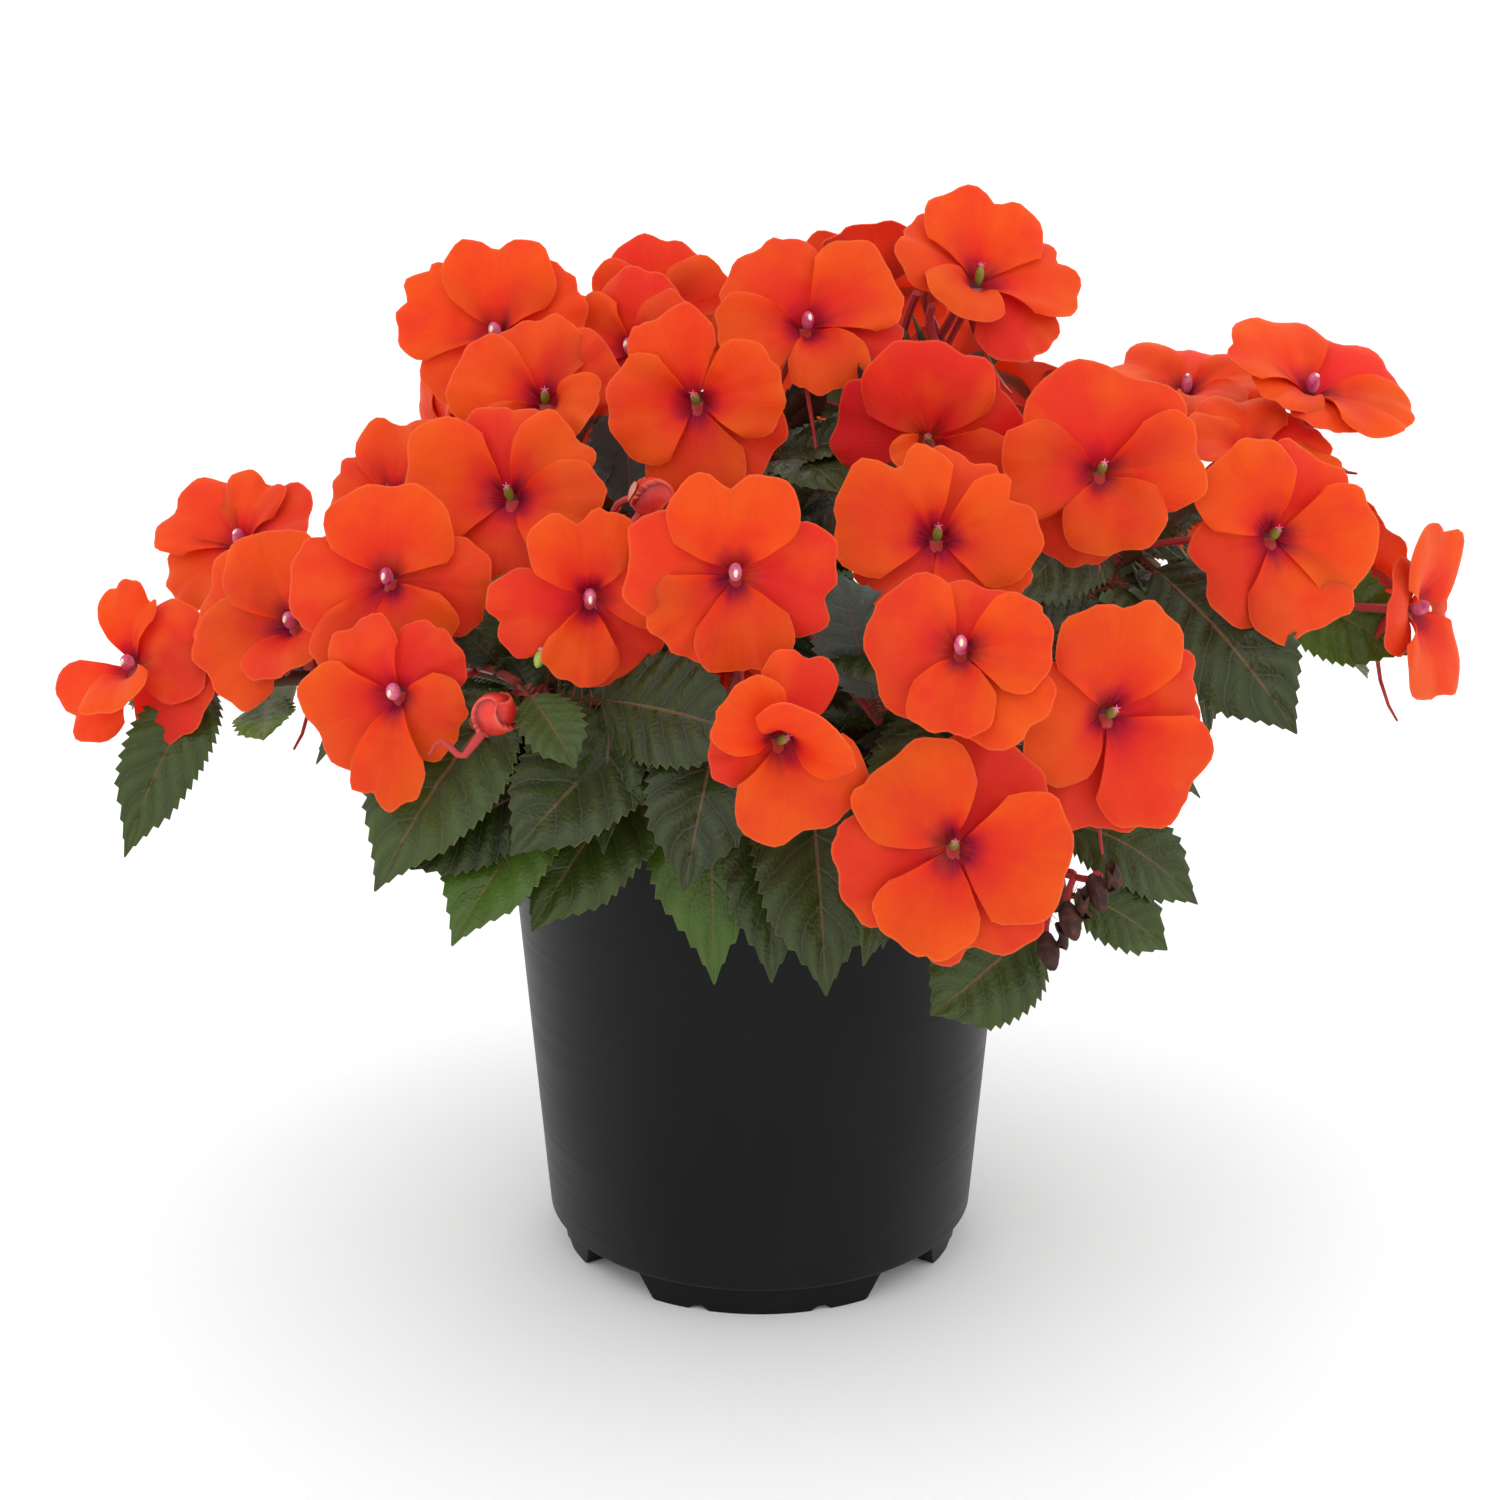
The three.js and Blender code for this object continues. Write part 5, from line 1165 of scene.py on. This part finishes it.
def add_petal(bm, number, petal, forms, cup):
    direction, half_spread, size, notch, notch_at, layer, lean = forms[petal]
    middle = math.radians(direction)
    spread = math.radians(half_spread * PETAL_OVERLAP)
    lean = math.radians(lean)
    lift_right = SIDE_LIFT if layer > forms[petal - 1][5] else -SIDE_LIFT
    lift_left = SIDE_LIFT if layer > forms[(petal + 1) % len(forms)][5] else -SIDE_LIFT
    nick_at = 0.5 * vary(number, 2 * petal + 5) + 0.1
    wave = number * 1.3 + petal * 2.1
    sheet = bmesh.ops.create_grid(
        bm, x_segments=PETAL_COLUMNS, y_segments=PETAL_ROWS, size=1, calc_uvs=True)["verts"]
    tone_layer = bm.verts.layers.float["tone"]
    blush_layer = bm.verts.layers.float["blush"]
    # A petal lower in the ring, under its neighbours, takes a higher tone: painted shade of a deeper red
    # where the petals over it shade it. The rest of the tone differs at random from petal to petal and from
    # flower to flower.
    tone = max(0, 0.6 - 0.22 * layer + 0.14 * vary(number, petal + 3) + DEEPER.get(number, 0))
    for vert in sheet:
        across = vert.co.x
        out = (vert.co.y + 1) / 2
        outline = size * (
            1 - 0.36 * abs(across) ** 3.6 - notch * math.exp(-((across - notch_at) / 0.16) ** 2)
            - 0.03 * math.exp(-((across - nick_at) / 0.05) ** 2) + 0.026 * math.sin(6.5 * across + wave)
            + 0.016 * math.sin(15 * across - 2 * wave))
        reach = THROAT + (outline - THROAT) * out
        opened = min(out / 0.45, 1)
        opened = opened * opened * (3 - 2 * opened)
        angle = middle - across * spread * (0.9 + 0.1 * opened)
        side_lift = lift_right * max(across, 0) ** 1.2 + lift_left * max(-across, 0) ** 1.2
        height = cup * out ** 1.2 + (side_lift + LAYER_LIFT * layer) * min(out * 2, 1)
        height -= 2.4 * math.exp(-(reach - THROAT) / 2.6)
        height += 0.9 * math.sin(math.pi * out) - 1.6 * out ** 7
        height += 0.95 * math.sin(5.5 * across + wave) * out ** 2
        height += 0.35 * math.sin(13 * across - wave) * out ** 3
        height -= 0.7 * math.exp(-((across - notch_at * out) / 0.1) ** 2) * out
        # The petal hinges at the throat, along its own direction
        ahead = reach * math.cos(angle - middle) - THROAT
        aside = reach * math.sin(angle - middle)
        ahead, height = (THROAT + ahead * math.cos(lean) - height * math.sin(lean),
                         ahead * math.sin(lean) + height * math.cos(lean))
        vert.co = (ahead * math.cos(middle) - aside * math.sin(middle),
                   ahead * math.sin(middle) + aside * math.cos(middle), height)
        vert[tone_layer] = tone
        vert[blush_layer] = max(0, -math.sin(middle))
    return faces_of(sheet)


def add_ball(bm, middle, size, material, turn=0):
    """A rounded body with its three radii, tilted about the flower's level axis."""
    tilt = Matrix.Rotation(math.radians(turn), 4, "X")
    matrix = Matrix.Translation(middle) @ tilt @ Matrix.Diagonal((*size, 1))
    ball = bmesh.ops.create_uvsphere(bm, u_segments=12, v_segments=8, radius=1, matrix=matrix)["verts"]
    paint(ball, material)


def flower_shape(number, middle, azimuth, elevation, across, cup):
    bm = new_shape()
    radius = across / 2
    forms = petal_forms(number, radius)
    faces = []
    for petal in range(len(forms)):
        faces += add_petal(bm, number, petal, forms, cup)
    thicken(bm, faces, PETAL_THICKNESS, 1)
    # The throat, closed behind, and the sepal that narrows into the spur
    axis = [Vector((0, 0, height)) for height, _ in THROAT_SECTION]
    add_limb(bm, axis, [girth for _, girth in THROAT_SECTION], 16, 1, 2)
    drop = radius * (0.85 + 0.25 * vary(number, 6))
    spur = [
        Vector((0, -0.5, -2.5)), Vector((0, -2.5, -6)), Vector((0, -4.6, -9.5)), Vector((0.5, -8, -12)),
        Vector((1, -13, -12.5)), Vector((1.5, -0.6 * drop - 4, -11.5)), Vector((1.5, -0.85 * drop - 4, -9)),
        Vector((1, -drop - 4, -6)),
    ]
    add_limb(bm, spur, SPUR_RADII, 8, 0.9, 5)
    if number in RIPE:
        add_ball(bm, (0, 1.2, 1.4), (1.25, 1.35, 3.2), 4, -25)
        for ray in range(5):
            angle = math.radians(90 + 72 * ray)
            tip = Vector((1.1 * math.cos(angle), 2.6 + 1.1 * math.sin(angle), 4.6))
            add_limb(bm, [Vector((0, 2.6, 4.2)), tip], [0.3, 0.12], 4, 1, 3)
    else:
        add_ball(bm, (0, 0.9, 1.6), (1.7, 2.3, 3.1), 3, -20)
        add_ball(bm, (0.1, 0.9, 4.35), (0.55, 1.2, 0.6), 6, -20)
    facing = facing_way(azimuth, elevation)
    right = facing.cross(UP).normalized() * -1
    upward = facing.cross(right)
    turn = Matrix((right, upward, facing)).transposed().to_4x4()
    bmesh.ops.transform(bm, matrix=Matrix.Translation(middle) @ turn, verts=bm.verts)
    return bm


# A petal's face: velvety and slightly translucent, glowing orange scarlet outside and crimson at the throat.
petal_face = new_material(
    "velvety petal face", Roughness=0.6, IOR=1.38, Sheen_Weight=0.08, Sheen_Roughness=0.4,
    Sheen_Tint=linear("#FF9A60"), Subsurface_Weight=0.45, Subsurface_Radius=(0.003, 0.0007, 0.0004),
    Subsurface_Scale=1.0, Specular_IOR_Level=0.2)
# The back of a petal is duller and pinker.
petal_back = new_material(
    "petal back", Roughness=0.6, IOR=1.38, Specular_IOR_Level=0.3, Subsurface_Weight=0.6,
    Subsurface_Radius=(0.004, 0.001, 0.0006), Subsurface_Scale=1.0)

for material, stops, depth in (
    (petal_face, [(0.0, "#3A0422"), (0.1, "#64082C"), (0.17, "#AC1226"), (0.27, "#DE2E18"), (0.55, "#E5440F"),
                  (1.0, "#E64E10")], 0.55),
    (petal_back, [(0.0, "#A83028"), (0.3, "#D84A30"), (1.0, "#E86A48")], 0.3),
):
    uv = add_node(material, "UVMap", {"uv_map": "UVMap"})
    outward = add_node(material, "SeparateXYZ", None, {0: uv}).outputs["Y"]
    streak_map = add_node(material, "Mapping", {"Scale": (26, 1.6, 1)}, {"Vector": uv})
    streaks = add_node(material, "TexNoise", {"Scale": 1.0, "Detail": 3.0}, {"Vector": streak_map})
    shifted = add_node(material, "Math", {"operation": "MULTIPLY_ADD", 1: 0.1, 2: -0.05}, {0: streaks})
    out_here = add_node(material, "Math", {"operation": "ADD"}, {0: outward, 1: shifted})
    scarlet = add_node(material, "ValToRGB", {"stops": stops}, {"Fac": out_here})
    tone_value = add_node(material, "Attribute", {"attribute_name": "tone"}).outputs["Fac"]
    # The tone mixes in a deeper red: painted shade on the lower petals, and the petals' own differences in
    # red
    colour = mix_colour(material, tone_value, scarlet, "#DE1A22")
    veined = add_node(
        material, "MapRange", {"From Min": 0.45, "From Max": 0.75, "To Max": 0.25}, {"Value": streaks})
    colour = mix_colour(material, veined, colour, "#D22A22")
    # Patches of about 15 mm run from orange to red, as on petals of different age
    place = add_node(material, "TexCoord").outputs["Object"]
    patches = add_node(material, "TexNoise", {"Scale": 62.0, "Detail": 2.0}, {"Vector": place})
    orange = add_node(
        material, "MapRange", {"From Min": 0.5, "From Max": 0.72, "To Max": 0.5}, {"Value": patches})
    colour = mix_colour(material, orange, colour, "#EE5C10")
    red = add_node(
        material, "MapRange", {"From Min": 0.48, "From Max": 0.28, "To Max": 0.55}, {"Value": patches})
    colour = mix_colour(material, red, colour, "#DC261E")
    # Violet lines run into the throat on the lower petals
    low_value = add_node(material, "Attribute", {"attribute_name": "blush"}).outputs["Fac"]
    in_throat = add_node(
        material, "MapRange", {"From Min": 0.19, "From Max": 0.06, "To Max": 0.6}, {"Value": out_here})
    in_lines = add_node(material, "MapRange", {"From Min": 0.4, "From Max": 0.55}, {"Value": streaks})
    low_lines = add_node(material, "Math", {"operation": "MULTIPLY"}, {0: low_value, 1: in_lines})
    violet = add_node(material, "Math", {"operation": "MULTIPLY"}, {0: low_lines, 1: in_throat})
    colour = mix_colour(material, violet, colour, "#96185A")
    # Short crimson lines run out of the throat on every petal
    near_throat = add_node(
        material, "MapRange", {"From Min": 0.34, "From Max": 0.08, "To Max": 0.6}, {"Value": outward})
    crimson = add_node(material, "Math", {"operation": "MULTIPLY"}, {0: in_lines, 1: near_throat})
    colour = mix_colour(material, crimson, colour, "#A81428")
    # A painted highlight makes the cut edge of a petal a shade paler, where light shines through it
    rim = add_node(
        material, "MapRange", {"From Min": 0.97, "From Max": 1.0, "To Max": 0.45}, {"Value": outward})
    colour = mix_colour(material, rim, colour, "#F4683A")
    velvet = add_node(material, "TexNoise", {"Scale": 1500.0, "Detail": 2.0}, {"Vector": place})
    height = add_node(material, "Math", {"operation": "MULTIPLY_ADD", 1: 3.0}, {0: streaks, 2: velvet})
    ripple = add_node(material, "Bump", {"Strength": depth, "Distance": 0.0001}, {"Height": height})
    connect(material, Base_Color=colour, Normal=ripple)

# The throat behind the petals: dull dark crimson.
throat_skin = new_material("dark throat of the flower", Roughness=0.6, Base_Color=linear("#5A0A22"))
# The column of the stamens, the ovary that it bares and the thin spur: smooth, moist and a little glossy.
column_skin = new_material("pink column of the stamens", Roughness=0.4, IOR=1.4)
mottle(column_skin, {"Scale": 260.0, "Detail": 3.0}, [(0.35, "#B42C66"), (0.65, "#E2819E")], (0.3, 0.0002))
ovary_skin = new_material("green ovary", Roughness=0.4, IOR=1.4)
mottle(ovary_skin, {"Scale": 260.0, "Detail": 3.0}, [(0.35, "#6E7A2C"), (0.65, "#8C8A3C")], (0.3, 0.0002))
spur_skin = new_material("translucent red sepal and spur", Roughness=0.4, IOR=1.4)
mottle(spur_skin, {"Scale": 120.0, "Detail": 3.0}, [(0.35, "#A8232A"), (0.65, "#C8453A")], (0.3, 0.0002))
# Pollen: a dusty cream that takes no gloss.
pollen = new_material("cream pollen", Roughness=0.85)
mottle(pollen, {"Scale": 900.0, "Detail": 3.0}, [(0.35, "#E8D9A8"), (0.65, "#F6EFD8")], (0.3, 0.0002))

number = 0
for shoot in SHOOTS.values():
    for bloom in shoot["blooms"]:
        number += 1
        finish_piece(
            f"flower_{number:02d}", flower_shape(number, *bloom),
            [petal_face, petal_back, throat_skin, column_skin, ovary_skin, spur_skin, pollen],
            [f"bloom_{number:02d}"])


# The floor is a plain round sheet of matt white paper. Soft round panels light it from the upper left, from
# the right and from behind, and a pale surround fills the shadows.
bm = bmesh.new()
bmesh.ops.create_circle(bm, cap_ends=True, segments=96, radius=4)
sweep = bpy.data.meshes.new("studio_floor")
bm.to_mesh(sweep)
bm.free()
floor = bpy.data.objects.new("studio_floor", sweep)
bpy.context.scene.collection.objects.link(floor)
# Matt white paper: a dull even white with faint wide clouds.
paper = new_material("matt white paper", Roughness=0.9)
mottle(paper, {"Scale": 3.0, "Detail": 2.0}, [(0.3, "#FBFBFB"), (0.7, "#FDFDFD")])
sweep.materials.append(paper)

surround = bpy.data.worlds.new("pale studio surround")
surround.use_nodes = True
background = surround.node_tree.nodes["Background"]
background.inputs["Color"].default_value = (1, 1, 1, 1)
background.inputs["Strength"].default_value = 1.13
bpy.context.scene.world = surround
for name, spot, size, power in (
    ("key_panel", (-0.7, -1.1, 1.7), 1.0, 3),
    ("side_panel", (1.4, -0.8, 0.9), 1.0, 2),
    ("back_panel", (0.2, 1.5, 1.4), 1.2, 4),
):
    panel = bpy.data.lights.new(name, "AREA")
    panel.shape = "DISK"
    panel.size = size
    panel.energy = power
    lamp = bpy.data.objects.new(name, panel)
    lamp.location = spot
    lamp.rotation_euler = (Vector((0, 0, 0.2)) - Vector(spot)).to_track_quat("-Z", "Y").to_euler()
    bpy.context.scene.collection.objects.link(lamp)
bpy.context.scene.view_settings.view_transform = "Standard"

# The camera stands 65 cm in front of the pot's axis and 34 cm up, and looks down a little. Its picture is
# moved aside by a few of the photograph's pixels.
CAMERA_TILT = 15.7
PHOTO_WIDTH = 1500
PHOTO_SHIFT = -10
view = bpy.data.cameras.new("camera")
view.sensor_width = 36
view.lens = 53.2
view.shift_x = PHOTO_SHIFT / PHOTO_WIDTH
camera = bpy.data.objects.new("camera", view)
camera.location = (0, -0.650, 0.339)
camera.rotation_euler = (math.radians(90 - CAMERA_TILT), 0, 0)
bpy.context.scene.collection.objects.link(camera)
bpy.context.scene.camera = camera
